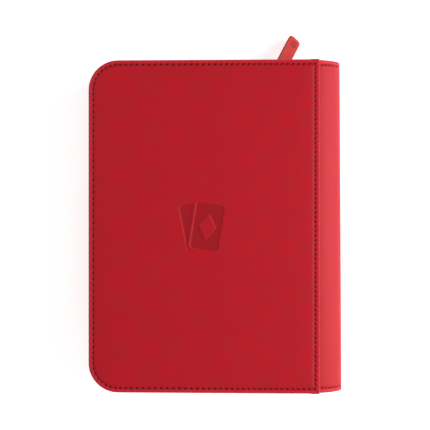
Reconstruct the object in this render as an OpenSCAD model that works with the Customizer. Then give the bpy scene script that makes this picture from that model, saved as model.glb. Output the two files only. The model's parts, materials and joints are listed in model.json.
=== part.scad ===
// Zip-round trading card binder with side-loading pocket leaves.
//
// The binder lies closed on its back cover. The origin is the centre of the
// back cover's outer face, +X points to the spine, +Y to the head edge where
// the zip slider is parked, and +Z up through the thickness to the front cover.

/* [Covers] */
// Width of a cover, from the fore-edge to the fold at the spine
cover_w = 162; // [150:1:175]
// Height of a cover, from the tail edge to the head edge
cover_h = 235; // [228:1:250]
// Radius of the two fore-edge corners
corner_r = 21; // [18:1:24]
// Thickness of the closed binder
closed_t = 36; // [36:1:40]

/* [Cover layers] */
// Thickness of the leatherette skin
skin_t = 0.8; // [0.6:0.1:1]
// Thickness of the foam padding under the skin
padding_t = 1.6; // [1.2:0.1:2]
// Thickness of the stiff board
board_t = 2; // [1.6:0.1:2.4]
// Thickness of the zip tape's flange where it is sewn in
flange_t = 0.6; // [0.4:0.1:0.7]
// Thickness of the lining
lining_t = 0.5; // [0.4:0.1:0.6]

/* [Spine] */
// How far the spine's skin lies below the cover's face at the fold
fold_step = 0.9; // [0.9:0.1:1.2]
// Number of strips that stand for the flexible spine
strip_count = 5; // [5:2:5]
// Thickness of the flexible stiffener inside the spine
stiffener_t = 0.7; // [0.5:0.1:0.8]

/* [Leaves] */
// Number of pocket leaves
leaf_count = 20; // [10:2:20]
// Height of a leaf
leaf_h = 200; // [194:1:202]
// Distance from one leaf to the next in the bound edge
leaf_pitch = 0.5; // [0.5:0.05:0.55]
// Width of a card pocket
pocket_w = 71; // [69:0.5:72]
// Height of a card pocket
pocket_h = 95; // [92:0.5:96]

/* [Zip] */
// Distance of the zip's teeth from the cover's edge
zip_inset = 9.5; // [9:0.1:10]
// Place of the parked slider along the head edge
slider_x = 54; // [48:1:56]
// Heading of the pull, in degrees clockwise from +Y
pull_heading = 26; // [20:1:30]
// How far the pull tab droops, in degrees
pull_droop = 35; // [30:1:35]
// How far the pull tab is twisted on its ring, in degrees
pull_twist = 24; // [16:1:24]

/* [Hidden] */
leaf_names = [for (k = [1 : leaf_count]) str("leaf_", k < 10 ? "0" : "", k)];
strip_names = [for (layer = ["spine_skin_", "spine_stiffener_", "spine_lining_"], i = [1 : strip_count])
    str(layer, i)];

$fn = 64;
mid_z = closed_t / 2;
half_w = cover_w / 2;
half_h = cover_h / 2;
gap = 0.1;                       // play between layers that only lie together

// Heights of the layers in the back cover; the front cover mirrors them.
padding_z = skin_t;
board_z = padding_z + padding_t;
flange_z = board_z + board_t;
lining_z = flange_z + flange_t;
cover_t = lining_z + lining_t;

// Zip tape: a flange sewn into the cover, and a wall that leans in to the teeth.
seam_inset = 3;                  // where the tape leaves the seam
flange_w = 6;
wall_t = 0.8;
coil_t = 1.7;                    // height of one row of teeth
coil_w = 2.4;                    // width of a row, across the tape
coil_gap = 1.2;                  // room between the rows for the slider's post
coil_z = mid_z - coil_gap / 2 - coil_t;
tape_end_x = half_w - 5;         // the tapes end short of the fold
coil_end_x = slider_x + 6;
stop_l = 2.2;

// Spine: strips on a half circle, each hinged to the next at its outer face.
spine_r = mid_z - fold_step;
spine_in_r = spine_r - skin_t - stiffener_t - lining_t;
strip_angle = 180 / strip_count;
strip_play = 0.3;                // degrees left free at each side of a strip

// Bound edge: the leaves' stubs stand in a channel on the middle strip.
channel_wall = 0.9;
channel_back_x = half_w + 13.2;
channel_lip_x = half_w + 9;
channel_half = leaf_count * leaf_pitch / 2 + 0.1;
pad_half = 4.2;
leaf_t = 0.45;
core_t = 0.21;
crease_gap = 0.3;                // half the slit between a stub and its leaf
crease_x = half_w + 7.5;         // crease of the two outermost leaves
leaf_end_x = -half_w + 13;
leaf_r = 3.5;                    // radius of a leaf's free corners
weld_w = 3;

// Slider and pull
channel_play = 0.4;              // room between a plate and the teeth
plate_t = 1.3;
slider_l = 11;
nose_w = 8;
tail_w = 6.4;
post_w = 0.9;
tunnel_t = 1.5;
bar_t = 1.1;
bar_w = 1.4;
teeth_y = half_h - zip_inset;
plate_out_y = teeth_y + coil_w / 2 + channel_play;
plate_in_y = teeth_y - coil_w / 2 - channel_play - plate_t;
tunnel_y = plate_out_y + plate_t + tunnel_t / 2;
ring_r = 3.6;
wire_r = 0.55;
heading = [sin(pull_heading), cos(pull_heading), 0];
ring_at = [slider_x, tunnel_y, mid_z];
eye_at = ring_at + 2 * ring_r * heading;
tab_l = 25.5;                    // from the eye's centre to the tip
tab_w = 10;
tab_t = 2.4;
eye_t = 1.2;
eye_r = 3.1;
eye_hole_r = 1.9;
tip_r = 2.2;

// Emblem: a fanned pair of plain cards, pressed into the front skin.
emblem_depth = 0.35;
card_w = 20;
card_h = 29;
card_r = 2.5;
card_line = 1;                   // raised line between the two cards

/* ---- shapes that repeat ---- */

// A cover's outline, drawn in from its edge: round fore-edge corners, square at the spine.
module cover_outline(inset = 0, spine_inset = 0) {
    r = corner_r - inset;
    translate([-half_w + corner_r, -half_h + inset])
        square([cover_w - corner_r - spine_inset, cover_h - 2 * inset]);
    translate([-half_w + inset, -half_h + corner_r])
        square([corner_r, cover_h - 2 * corner_r]);
    for (side = [-1, 1])
        translate([-half_w + corner_r, side * (half_h - corner_r)]) circle(r);
}

module cover_layer(z, t, inset, spine_inset) {
    translate([0, 0, z]) linear_extrude(t) cover_outline(inset, spine_inset);
}

// Sweeps a section round the three zipped edges. Its x is the distance from the
// corner's centre, and its y is the height.
module round_three_edges(end_x) {
    cx = -half_w + corner_r;
    cy = half_h - corner_r;
    translate([cx, cy, 0]) rotate([90, 0, 90]) linear_extrude(end_x - cx) children();
    translate([cx, cy, 0]) rotate([0, 0, 90]) rotate_extrude(angle = 90) children();
    translate([cx, -cy, 0]) rotate([90, 0, 180]) linear_extrude(2 * cy) children();
    translate([cx, -cy, 0]) rotate([0, 0, 180]) rotate_extrude(angle = 90) children();
    translate([end_x, -cy, 0]) rotate([90, 0, 270]) linear_extrude(end_x - cx) children();
}

// Turns a back-cover piece into the same piece of the front cover.
module on_front() {
    translate([0, 0, closed_t]) mirror([0, 0, 1]) children();
}

module rounded_card(w, h, r) {
    square([w - 2 * r, h], center = true);
    square([w, h - 2 * r], center = true);
    for (x = [-1, 1], y = [-1, 1])
        translate([x * (w / 2 - r), y * (h / 2 - r)]) circle(r);
}

/* ---- cover pieces, in the back cover's place ---- */

module skin() {
    difference() {
        linear_extrude(cover_t) cover_outline();
        cover_layer(padding_z, lining_z - padding_z, skin_t, skin_t);
        cover_layer(lining_z - 0.01, lining_t + 1, seam_inset - gap, seam_inset - gap);
    }
}

module padding() { cover_layer(padding_z, padding_t, skin_t + gap, skin_t + gap); }

module board() { cover_layer(board_z, board_t, skin_t + gap, skin_t + gap); }

module lining() { cover_layer(lining_z, lining_t, seam_inset + wall_t + 0.6, seam_inset); }

module zip_tape() {
    r0 = corner_r - seam_inset;
    r1 = corner_r - zip_inset;
    round_three_edges(tape_end_x)
        polygon([[corner_r - skin_t - gap, flange_z], [corner_r - skin_t - gap, lining_z], [r0, lining_z],
                 [r1 + wall_t / 2, coil_z], [r1 - wall_t / 2, coil_z], [r0 - wall_t, lining_z],
                 [corner_r - skin_t - gap - flange_w, lining_z],
                 [corner_r - skin_t - gap - flange_w, flange_z]]);
}

module zip_coil() {
    round_three_edges(coil_end_x)
        translate([corner_r - zip_inset - coil_w / 2, coil_z]) square([coil_w, coil_t]);
}

// The two metal clamps that end a row of teeth, one at the head and one at the tail.
module zip_stops() {
    for (side = [-1, 1])
        translate([coil_end_x + 0.3, side * teeth_y - coil_w / 2 - 0.3, coil_z])
            cube([stop_l, coil_w + 0.6, coil_t]);
}

module emblem() {
    translate([-4.5, 0.5]) rotate(12) difference() {
        rounded_card(card_w, card_h, card_r);
        rotate(-12) translate([8, -1]) rotate(-10)
            rounded_card(card_w + 2 * card_line, card_h + 2 * card_line, card_r + card_line);
    }
    translate([3.5, -0.5]) rotate(-10) difference() {
        rounded_card(card_w, card_h, card_r);
        polygon([[0, 8], [5.5, 0], [0, -8], [-5.5, 0]]);
    }
}

/* ---- spine pieces ---- */

// A strip of the spine: an arc about the spine's own axis, along the height.
module spine_arc(index, r_out, t, h) {
    translate([half_w, -h / 2, mid_z]) rotate([-90, 0, 0])
        rotate([0, 0, 90 - index * strip_angle + strip_play])
            rotate_extrude(angle = strip_angle - 2 * strip_play)
                translate([r_out - t, 0]) square([t, h]);
}

module spine_skin(index) { color("firebrick") spine_arc(index, spine_r, skin_t, cover_h - 1); }

module spine_stiffener(index) {
    color("gainsboro") spine_arc(index, spine_r - skin_t, stiffener_t, cover_h - 5);
}

module spine_lining(index) {
    color("dimgray") spine_arc(index, spine_in_r + lining_t, lining_t, cover_h - 1);
}

module binding_channel() {
    color("dimgray") {
        for (side = [-1, 1])
            translate([channel_lip_x, -leaf_h / 2, mid_z + side * (channel_half + channel_wall / 2)
                       - channel_wall / 2])
                cube([channel_back_x - channel_lip_x, leaf_h, channel_wall]);
        translate([channel_back_x - channel_wall, -leaf_h / 2, mid_z - channel_half])
            cube([channel_wall, leaf_h, 2 * channel_half]);
        intersection() {
            translate([channel_back_x - channel_wall, -leaf_h / 2, mid_z - pad_half])
                cube([channel_wall + 3, leaf_h, 2 * pad_half]);
            translate([half_w, -leaf_h / 2, mid_z]) rotate([-90, 0, 0])
                cylinder(h = leaf_h, r = spine_in_r);
        }
    }
}

/* ---- leaves ---- */

// Height of a leaf's middle plane, and the place of its crease. The creases
// step towards the middle of the stack, so that the leaves lie flat when turned.
function leaf_z(k) = mid_z + (k - (leaf_count + 1) / 2) * leaf_pitch;
function leaf_crease(k) = crease_x - leaf_pitch * (min(k, leaf_count + 1 - k) - 1);

module leaf_stubs() {
    color("black")
        for (k = [1 : leaf_count]) {
            start = leaf_crease(k) + crease_gap;
            translate([start, -leaf_h / 2, leaf_z(k) - leaf_t / 2])
                cube([channel_back_x - channel_wall - gap - start, leaf_h, leaf_t]);
        }
}

// A leaf: a black core, and clear films welded to both faces to make four pockets a side.
module leaf(k) {
    film_t = (leaf_t - core_t) / 2;
    color("black") {
        translate([leaf_end_x, -leaf_h / 2, leaf_z(k) - core_t / 2]) linear_extrude(core_t) {
            translate([leaf_r, 0]) square([leaf_crease(k) - crease_gap - leaf_end_x - leaf_r, leaf_h]);
            translate([0, leaf_r]) square([2 * leaf_r, leaf_h - 2 * leaf_r]);
            for (y = [leaf_r, leaf_h - leaf_r])
                translate([leaf_r, y]) circle(leaf_r);
        }
        for (column = [0, 1], row = [-1, 1], face = [-1, 1])
            translate([leaf_end_x + weld_w + column * (pocket_w + weld_w),
                       row * (pocket_h + weld_w) / 2 - pocket_h / 2,
                       leaf_z(k) + (face > 0 ? core_t / 2 : -leaf_t / 2)])
                cube([pocket_w, pocket_h, film_t]);
    }
}

/* ---- slider and pull ---- */

// A slider plate: wide at the nose, narrow at the tail, with its long edges straight.
module slider_plate(y) {
    translate([slider_x, y + plate_t, mid_z]) rotate([90, 0, 0]) linear_extrude(plate_t)
        polygon([[-slider_l / 2, -tail_w / 2 + 1], [-slider_l / 2 + 1, -tail_w / 2], [0, -tail_w / 2],
                 [slider_l / 2 - 3, -nose_w / 2], [slider_l / 2 - 1, -nose_w / 2],
                 [slider_l / 2, -nose_w / 2 + 1], [slider_l / 2, nose_w / 2 - 1],
                 [slider_l / 2 - 1, nose_w / 2], [slider_l / 2 - 3, nose_w / 2], [0, tail_w / 2],
                 [-slider_l / 2 + 1, tail_w / 2], [-slider_l / 2, tail_w / 2 - 1]]);
}

module zip_slider() {
    bridge_y = plate_out_y + plate_t;
    bridge_l = 9;
    leg_l = 1.4;
    color("indianred") {
        slider_plate(plate_out_y);
        slider_plate(plate_in_y);
        translate([slider_x + 3, plate_in_y + plate_t, mid_z - post_w / 2])
            cube([2, plate_out_y - plate_in_y - plate_t, post_w]);
        for (x = [-bridge_l / 2, bridge_l / 2 - leg_l])
            translate([slider_x + x, bridge_y, mid_z - bar_w / 2])
                cube([leg_l, tunnel_t + bar_t, bar_w]);
        translate([slider_x - bridge_l / 2, bridge_y + tunnel_t, mid_z - bar_w / 2])
            cube([bridge_l, bar_t, bar_w]);
    }
}

module pull_ring() {
    color("silver") translate(ring_at + ring_r * heading) rotate([0, 0, 90 - pull_heading])
        rotate([90, 0, 0]) rotate_extrude() translate([ring_r, 0]) circle(wire_r);
}

module pull_tab() {
    shoulder = 4.3;
    groove_w = 0.9;
    color("tomato")
        translate(eye_at) rotate([0, 0, 90 - pull_heading]) rotate([0, pull_droop, 0])
            rotate([pull_twist, 0, 0]) difference() {
                union() {
                    translate([0, 0, -eye_t / 2]) cylinder(h = eye_t, r = eye_r);
                    translate([0, 0, -eye_t / 2]) linear_extrude(eye_t)
                        polygon([[0, -eye_r], [shoulder + 1, -tab_w / 2], [shoulder + 1, tab_w / 2],
                                 [0, eye_r]]);
                    translate([0, 0, -tab_t / 2]) linear_extrude(tab_t) {
                        translate([shoulder, -tab_w / 2]) square([tab_l - tip_r - shoulder, tab_w]);
                        translate([tab_l - 2 * tip_r, -tab_w / 2 + tip_r])
                            square([2 * tip_r, tab_w - 2 * tip_r]);
                        for (side = [-1, 1])
                            translate([tab_l - tip_r, side * (tab_w / 2 - tip_r)]) circle(tip_r);
                    }
                }
                translate([0, 0, -tab_t]) cylinder(h = 2 * tab_t, r = eye_hole_r);
                for (row = [0 : 2])
                    translate([tab_l - 4 - 2 * row, -2.5, tab_t / 2 - 0.3])
                        cube([groove_w, 5, 1]);
            }
}

/* ---- nodes ---- */

color("firebrick") skin();  // back_skin
color("ivory") padding();  // back_padding
color("tan") board();  // back_board
color("dimgray") lining();  // back_lining
color("brown") zip_tape();  // back_zip_tape
color("crimson") zip_coil();  // back_zip_coil
color("silver") zip_stops();  // back_zip_stops
color("firebrick") difference() {  // front_skin
    on_front() skin();
    translate([0, 0, closed_t - emblem_depth]) linear_extrude(1) emblem();
}
color("ivory") on_front() padding();  // front_padding
color("tan") on_front() board();  // front_board
color("dimgray") on_front() lining();  // front_lining
color("brown") on_front() zip_tape();  // front_zip_tape
color("crimson") on_front() zip_coil();  // front_zip_coil
color("silver") on_front() zip_stops();  // front_zip_stops
binding_channel();
leaf_stubs();
zip_slider();
pull_ring();
pull_tab();
for (i = [1 : strip_count]) {
    spine_skin(i);
    spine_stiffener(i);
    spine_lining(i);
}
for (k = [1 : leaf_count])
    leaf(k);
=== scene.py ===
"""Looks of the zip-round trading card binder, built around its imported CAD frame.

The binder lies closed on its back cover: X runs from the fore-edge to the spine,
Y from the tail edge to the head edge, and Z through the thickness. Shapes are
worked out in millimetres and written into their meshes in metres.
"""

import json
import logging
import math
from dataclasses import dataclass
from enum import Enum
from typing import Callable, Optional, Sequence

import bmesh
import bpy
import numpy as np
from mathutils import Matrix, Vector


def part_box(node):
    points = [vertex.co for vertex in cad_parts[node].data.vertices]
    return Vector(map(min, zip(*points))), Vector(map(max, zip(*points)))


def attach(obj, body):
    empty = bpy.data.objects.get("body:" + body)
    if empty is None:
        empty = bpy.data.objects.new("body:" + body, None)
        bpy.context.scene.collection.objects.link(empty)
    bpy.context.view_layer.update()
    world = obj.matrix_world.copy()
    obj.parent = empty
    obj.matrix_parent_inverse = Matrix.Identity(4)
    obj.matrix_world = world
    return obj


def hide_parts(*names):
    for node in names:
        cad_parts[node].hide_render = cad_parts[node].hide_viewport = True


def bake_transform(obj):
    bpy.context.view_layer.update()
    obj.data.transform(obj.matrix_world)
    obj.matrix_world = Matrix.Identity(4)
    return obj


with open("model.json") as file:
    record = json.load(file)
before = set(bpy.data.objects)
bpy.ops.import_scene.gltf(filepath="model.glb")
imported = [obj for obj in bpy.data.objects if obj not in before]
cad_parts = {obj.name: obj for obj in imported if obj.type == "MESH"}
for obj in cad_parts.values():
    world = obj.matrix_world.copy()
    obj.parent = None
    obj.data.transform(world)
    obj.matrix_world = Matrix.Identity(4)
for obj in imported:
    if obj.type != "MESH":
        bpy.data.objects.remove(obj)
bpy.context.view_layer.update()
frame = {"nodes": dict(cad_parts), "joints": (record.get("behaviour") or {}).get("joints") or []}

log = logging.getLogger("binder")

MM = 0.001
CLOTH_UV = "cloth"
SEAM_UV = "seam"
# Marks the pressed emblem on the front cover, and the painted shade on the pull tab.
PRESSED = "pressed"


# ---------------------------------------------------------------- shapes


@dataclass
class Shape:
    """A mesh being worked out: points in millimetres, faces as runs of corners.

    Each corner has a place on the cloth, in millimetres, and a place along its
    seam, as a count of stitches and a distance from the edge in millimetres.
    """

    points: np.ndarray
    corners: np.ndarray
    sizes: np.ndarray
    cloth: np.ndarray
    seam: np.ndarray
    pressed: np.ndarray

    def mapped(self, place: Callable[[np.ndarray], np.ndarray], turn_over: bool = False) -> "Shape":
        """Moves every point through a function of the whole point array.

        Args:
            place: takes the points and returns them in their new places.
            turn_over: reverses every face, for a mirroring move.

        Returns:
            The moved shape.
        """
        shape = Shape(place(self.points), self.corners, self.sizes, self.cloth, self.seam, self.pressed)
        return shape.reversed() if turn_over else shape

    def reversed(self) -> "Shape":
        """The same shape with every face turned over, corner runs read backwards."""
        ends = np.cumsum(self.sizes)
        owner = np.repeat(np.arange(len(self.sizes)), self.sizes)
        order = (ends - self.sizes)[owner] + ends[owner] - 1 - np.arange(len(self.corners))
        return Shape(self.points, self.corners[order], self.sizes, self.cloth[order], self.seam[order],
                     self.pressed)


def join(shapes: Sequence[Shape]) -> Shape:
    """Puts several shapes into one, each keeping its own points."""
    starts = np.cumsum([0] + [len(s.points) for s in shapes[:-1]])
    return Shape(
        np.concatenate([s.points for s in shapes]),
        np.concatenate([s.corners + start for s, start in zip(shapes, starts)]),
        np.concatenate([s.sizes for s in shapes]),
        np.concatenate([s.cloth for s in shapes]),
        np.concatenate([s.seam for s in shapes]),
        np.concatenate([s.pressed for s in shapes]),
    )


def grid(points: np.ndarray, cloth: Optional[np.ndarray] = None, seam: Optional[np.ndarray] = None,
         pressed: Optional[np.ndarray] = None) -> Shape:
    """A sheet of quads over a grid of points, one quad for each cell.

    The corner at (i, j) of each cell is followed by (i+1, j), (i+1, j+1) and
    (i, j+1), so a face's normal is the i direction crossed with the j direction.

    Args:
        points: rows by columns by 3.
        cloth: rows by columns by 2, the place on the cloth.
        seam: rows by columns by 2, the place along the seam.
        pressed: rows by columns, 1 where the surface is pressed smooth, or where shade is painted on the pull tab.

    Returns:
        The sheet.
    """
    rows, cols = points.shape[:2]
    index = np.arange(rows * cols).reshape(rows, cols)
    quads = np.stack([index[:-1, :-1], index[1:, :-1], index[1:, 1:], index[:-1, 1:]], axis=-1).reshape(-1)
    flat_cloth = np.zeros((rows * cols, 2)) if cloth is None else cloth.reshape(-1, 2)
    flat_seam = np.full((rows * cols, 2), 50.0) if seam is None else seam.reshape(-1, 2)
    flat_pressed = np.zeros(rows * cols) if pressed is None else pressed.reshape(-1)
    return Shape(points.reshape(-1, 3).astype(float), quads, np.full((rows - 1) * (cols - 1), 4),
                 flat_cloth[quads], flat_seam[quads], flat_pressed)


def lid(rim: np.ndarray, upward: bool) -> Shape:
    """One flat many-sided face on a closed rim.

    Args:
        rim: the rim's points, anticlockwise seen from above, without a repeat.
        upward: whether the face looks along +Z.

    Returns:
        The face.
    """
    count = len(rim)
    order = np.arange(count) if upward else np.arange(count)[::-1]
    return Shape(rim.astype(float), order, np.array([count]), rim[order, :2], np.full((count, 2), 50.0),
                 np.zeros(count))


def closed_tubes(centres: np.ndarray, across: np.ndarray, up: np.ndarray, radii: np.ndarray,
                 sides: int = 8, flatten: float = 1.0) -> Shape:
    """Many tubes with round ends, each along its own row of centres.

    A tube's section is an ellipse: centre + radius * (cos a * across +
    flatten * sin a * up). Its end sections have no radius, which closes it.

    Args:
        centres: tubes by sections by 3.
        across: the first axis of the sections, same shape as centres.
        up: the second axis of the sections, same shape as centres.
        radii: tubes by sections, or sections alone.
        sides: points round a section.
        flatten: the second axis as a share of the first.

    Returns:
        All the tubes, in one shape.
    """
    count, sections = centres.shape[:2]
    angle = np.linspace(0, 2 * math.pi, sides, endpoint=False)
    reach = np.broadcast_to(radii, (count, sections))[:, :, None, None]
    ring = (np.cos(angle)[None, None, :, None] * across[:, :, None, :]
            + flatten * np.sin(angle)[None, None, :, None] * up[:, :, None, :])
    points = centres[:, :, None, :] + reach * ring
    index = np.arange(count * sections * sides).reshape(count, sections, sides)
    after = np.roll(index, -1, axis=2)
    quads = np.stack([index[:, :-1], after[:, :-1], after[:, 1:], index[:, 1:]], axis=-1).reshape(-1)
    length = np.broadcast_to(np.linspace(0, 1, sections)[None, :, None], index.shape).reshape(-1)
    round_it = np.broadcast_to((np.arange(sides) / sides)[None, None, :], index.shape).reshape(-1)
    cloth = np.stack([length, round_it], axis=-1)[quads]
    faces = len(quads) // 4
    return Shape(points.reshape(-1, 3), quads, np.full(faces, 4), cloth, np.full((len(quads), 2), 50.0),
                 np.zeros(count * sections * sides))


def swept(profile: np.ndarray, path: np.ndarray, outward: np.ndarray, along: np.ndarray) -> Shape:
    """Carries a closed section along a path and closes both ends.

    A point is path + section x * outward + section y * Z.

    Args:
        profile: the section's points, anticlockwise seen along the path's start.
        path: stations by 3.
        outward: stations by 3, the direction of the section's x.
        along: stations, the distance run, used as the cloth's first coordinate.

    Returns:
        The swept bar.
    """
    closed = np.vstack([profile, profile[:1]])
    points = (path[:, None, :] + closed[None, :, :1] * outward[:, None, :]
              + closed[None, :, 1:2] * np.array([0.0, 0.0, 1.0]))
    step = np.linalg.norm(np.diff(closed, axis=0), axis=1)
    girth = np.concatenate([[0.0], np.cumsum(step)])
    cloth = np.stack(np.broadcast_arrays(along[:, None], girth[None, :]), axis=-1)
    side = grid(points, cloth)
    count = len(profile)
    ends = [Shape(points[row, :count], order, np.array([count]), cloth[row, order], np.full((count, 2), 50.0),
                  np.zeros(count))
            for row, order in ((0, np.arange(count)), (-1, np.arange(count)[::-1]))]
    return join([side, *ends])


def rounded_profile(corners: Sequence[Sequence[float]], radii: Sequence[float], steps: int = 4) -> np.ndarray:
    """A polygon with its corners rounded by quadratic curves.

    Each corner P with neighbours A and B becomes the curve (1-t)^2 P1 +
    2t(1-t) P + t^2 P2, where P1 and P2 lie the corner's radius away along
    its two edges.

    Args:
        corners: the polygon's corners.
        radii: how far each rounding reaches along the edges.
        steps: pieces in each rounding.

    Returns:
        The rounded outline's points.
    """
    at = np.array(corners, float)
    before, after = np.roll(at, 1, axis=0), np.roll(at, -1, axis=0)
    reach = np.array(radii, float)[:, None]
    start = at + (before - at) / np.linalg.norm(before - at, axis=1, keepdims=True) * reach
    end = at + (after - at) / np.linalg.norm(after - at, axis=1, keepdims=True) * reach
    t = np.linspace(0, 1, steps + 1)[None, :, None]
    curve = (1 - t) ** 2 * start[:, None] + 2 * t * (1 - t) * at[:, None] + t ** 2 * end[:, None]
    return curve.reshape(-1, 2)


def smoothstep(low: float, high: float, value: np.ndarray) -> np.ndarray:
    """0 below low, 1 above high, and 3t^2 - 2t^3 between them."""
    t = np.clip((value - low) / (high - low), 0, 1)
    return t * t * (3 - 2 * t)


def make_piece(name: str, shape: Shape, finish: bpy.types.Material, weld: float = 0.0,
               sharp_deg: float = 40.0) -> bpy.types.Object:
    """Writes a shape into a mesh object in metres, dressed in one finish.

    Args:
        name: the piece's name.
        shape: the shape, in millimetres.
        finish: its material.
        weld: merges points nearer than this, in millimetres.
        sharp_deg: edges sharper than this keep a crease in their shading.

    Returns:
        The new object.
    """
    mesh = bpy.data.meshes.new(name)
    mesh.vertices.add(len(shape.points))
    mesh.vertices.foreach_set("co", (shape.points * MM).astype(np.float32).reshape(-1))
    mesh.loops.add(len(shape.corners))
    mesh.loops.foreach_set("vertex_index", shape.corners.astype(np.int32))
    mesh.polygons.add(len(shape.sizes))
    mesh.polygons.foreach_set("loop_start", (np.cumsum(shape.sizes) - shape.sizes).astype(np.int32))
    mesh.polygons.foreach_set("loop_total", shape.sizes.astype(np.int32))
    for layer, values in ((CLOTH_UV, shape.cloth), (SEAM_UV, shape.seam)):
        mesh.uv_layers.new(name=layer).data.foreach_set("uv", values.astype(np.float32).reshape(-1))
    mesh.attributes.new(PRESSED, "FLOAT", "POINT").data.foreach_set("value", shape.pressed.astype(np.float32))
    mesh.update(calc_edges=True)
    mesh.validate()
    if weld:
        work = bmesh.new()
        work.from_mesh(mesh)
        bmesh.ops.remove_doubles(work, verts=work.verts, dist=weld * MM)
        bmesh.ops.dissolve_degenerate(work, edges=work.edges, dist=weld * MM * 0.5)
        work.to_mesh(mesh)
        work.free()
    mesh.polygons.foreach_set("use_smooth", np.ones(len(mesh.polygons), bool))
    mesh.set_sharp_from_angle(angle=math.radians(sharp_deg))
    mesh.materials.append(finish)
    piece = bpy.data.objects.new(name, mesh)
    bpy.context.collection.objects.link(piece)
    log.info("%s: %d faces", name, len(mesh.polygons))
    return piece


# ---------------------------------------------------------------- sizes


class Side(Enum):
    """Which cover a piece belongs to. The value is also its name's first word."""

    BACK = "back"
    FRONT = "front"


@dataclass(frozen=True)
class Layout:
    """The binder's main sizes in millimetres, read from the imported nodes."""

    half_w: float
    half_h: float
    thick: float
    cover_t: float
    spine_r: float
    fold_x: float
    corner_r: float = 21.0

    @property
    def mid_z(self) -> float:
        """Height of the plane between the two covers."""
        return self.thick / 2

    @classmethod
    def from_frame(cls) -> "Layout":
        """Reads the sizes from the covers' boxes and the spine's first and last folds."""
        low, high = (np.array(c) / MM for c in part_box("back_skin"))
        top = np.array(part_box("front_skin")[1]) / MM
        folds = {j["name"]: np.array(j["pos_m"]) / MM for j in frame["joints"] if j["name"].startswith("spine_fold")}
        first, last = folds["spine_fold_1"], folds["spine_fold_6"]
        return cls(half_w=float(high[0]), half_h=float(high[1]), thick=float(top[2]),
                   cover_t=float(high[2] - low[2]), spine_r=float(last[2] - first[2]) / 2, fold_x=float(first[0]))


# ---------------------------------------------------------------- finishes


class Wiring:
    """Adds nodes to one shader tree and joins them."""

    def __init__(self, tree: bpy.types.NodeTree) -> None:
        """Keeps the tree that the nodes go into."""
        self.tree = tree

    def node(self, kind: str, **settings: object) -> bpy.types.Node:
        """Adds a node and sets its plain properties."""
        made = self.tree.nodes.new(kind)
        for name, value in settings.items():
            setattr(made, name, value)
        return made

    def feed(self, socket: bpy.types.NodeSocket, value: object) -> None:
        """Joins another socket to this one, or sets its own value."""
        if isinstance(value, bpy.types.NodeSocket):
            self.tree.links.new(value, socket)
        else:
            socket.default_value = value

    def maths(self, operation: str, *values: object, clamp: bool = False) -> bpy.types.NodeSocket:
        """One Math node on sockets or numbers, and its result."""
        made = self.node("ShaderNodeMath", operation=operation, use_clamp=clamp)
        for socket, value in zip(made.inputs, values):
            self.feed(socket, value)
        return made.outputs[0]

    def split(self, vector: bpy.types.NodeSocket) -> tuple:
        """The X, Y and Z of a vector."""
        made = self.node("ShaderNodeSeparateXYZ")
        self.feed(made.inputs[0], vector)
        return tuple(made.outputs)

    def spread(self, value: object, low: float, high: float, to_low: float = 0.0,
               to_high: float = 1.0) -> bpy.types.NodeSocket:
        """Maps a value smoothly from one range to another."""
        made = self.node("ShaderNodeMapRange", interpolation_type="SMOOTHSTEP")
        for socket, number in zip(made.inputs, (value, low, high, to_low, to_high)):
            self.feed(socket, number)
        return made.outputs[0]

    def noise(self, vector: bpy.types.NodeSocket, scale: float, detail: float = 3.0,
              roughness: float = 0.55) -> bpy.types.NodeSocket:
        """Cloudy noise between 0 and 1."""
        made = self.node("ShaderNodeTexNoise")
        self.feed(made.inputs["Vector"], vector)
        made.inputs["Scale"].default_value = scale
        made.inputs["Detail"].default_value = detail
        made.inputs["Roughness"].default_value = roughness
        return made.outputs[0]

    def tint(self, share: object, first: object, second: object) -> bpy.types.NodeSocket:
        """Mixes two colours by a share."""
        made = self.node("ShaderNodeMix", data_type="RGBA")
        for name, value in (("Factor_Float", share), ("A_Color", first), ("B_Color", second)):
            self.feed(next(s for s in made.inputs if s.identifier == name), value)
        return next(s for s in made.outputs if s.identifier == "Result_Color")

    def bump(self, height: bpy.types.NodeSocket, depth_mm: float, strength: float = 1.0,
             normal: Optional[bpy.types.NodeSocket] = None) -> bpy.types.NodeSocket:
        """Turns a height between 0 and 1 into a bumped normal."""
        made = self.node("ShaderNodeBump")
        made.inputs["Strength"].default_value = strength
        made.inputs["Distance"].default_value = depth_mm * MM
        self.feed(made.inputs["Height"], height)
        if normal is not None:
            self.feed(made.inputs["Normal"], normal)
        return made.outputs[0]


def rgba(colour: Sequence[float]) -> tuple:
    """A colour of three shares with full alpha."""
    return (*colour, 1.0)


def new_group(name: str, inputs: dict, outputs: Sequence[str]) -> tuple:
    """Starts a shader node group.

    Args:
        name: the group's name.
        inputs: socket name to its default number, or None for a vector.
        outputs: names of the output numbers.

    Returns:
        The group, its wiring, its inputs by name and its output node.
    """
    group = bpy.data.node_groups.new(name, "ShaderNodeTree")
    for label, value in inputs.items():
        kind = "NodeSocketVector" if value is None else "NodeSocketFloat"
        made = group.interface.new_socket(name=label, in_out="INPUT", socket_type=kind)
        if value is not None:
            made.default_value = value
    for label in outputs:
        group.interface.new_socket(name=label, in_out="OUTPUT", socket_type="NodeSocketFloat")
    w = Wiring(group)
    source, sink = w.node("NodeGroupInput"), w.node("NodeGroupOutput")
    return group, w, {s.name: s for s in source.outputs if s.name}, sink


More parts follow.
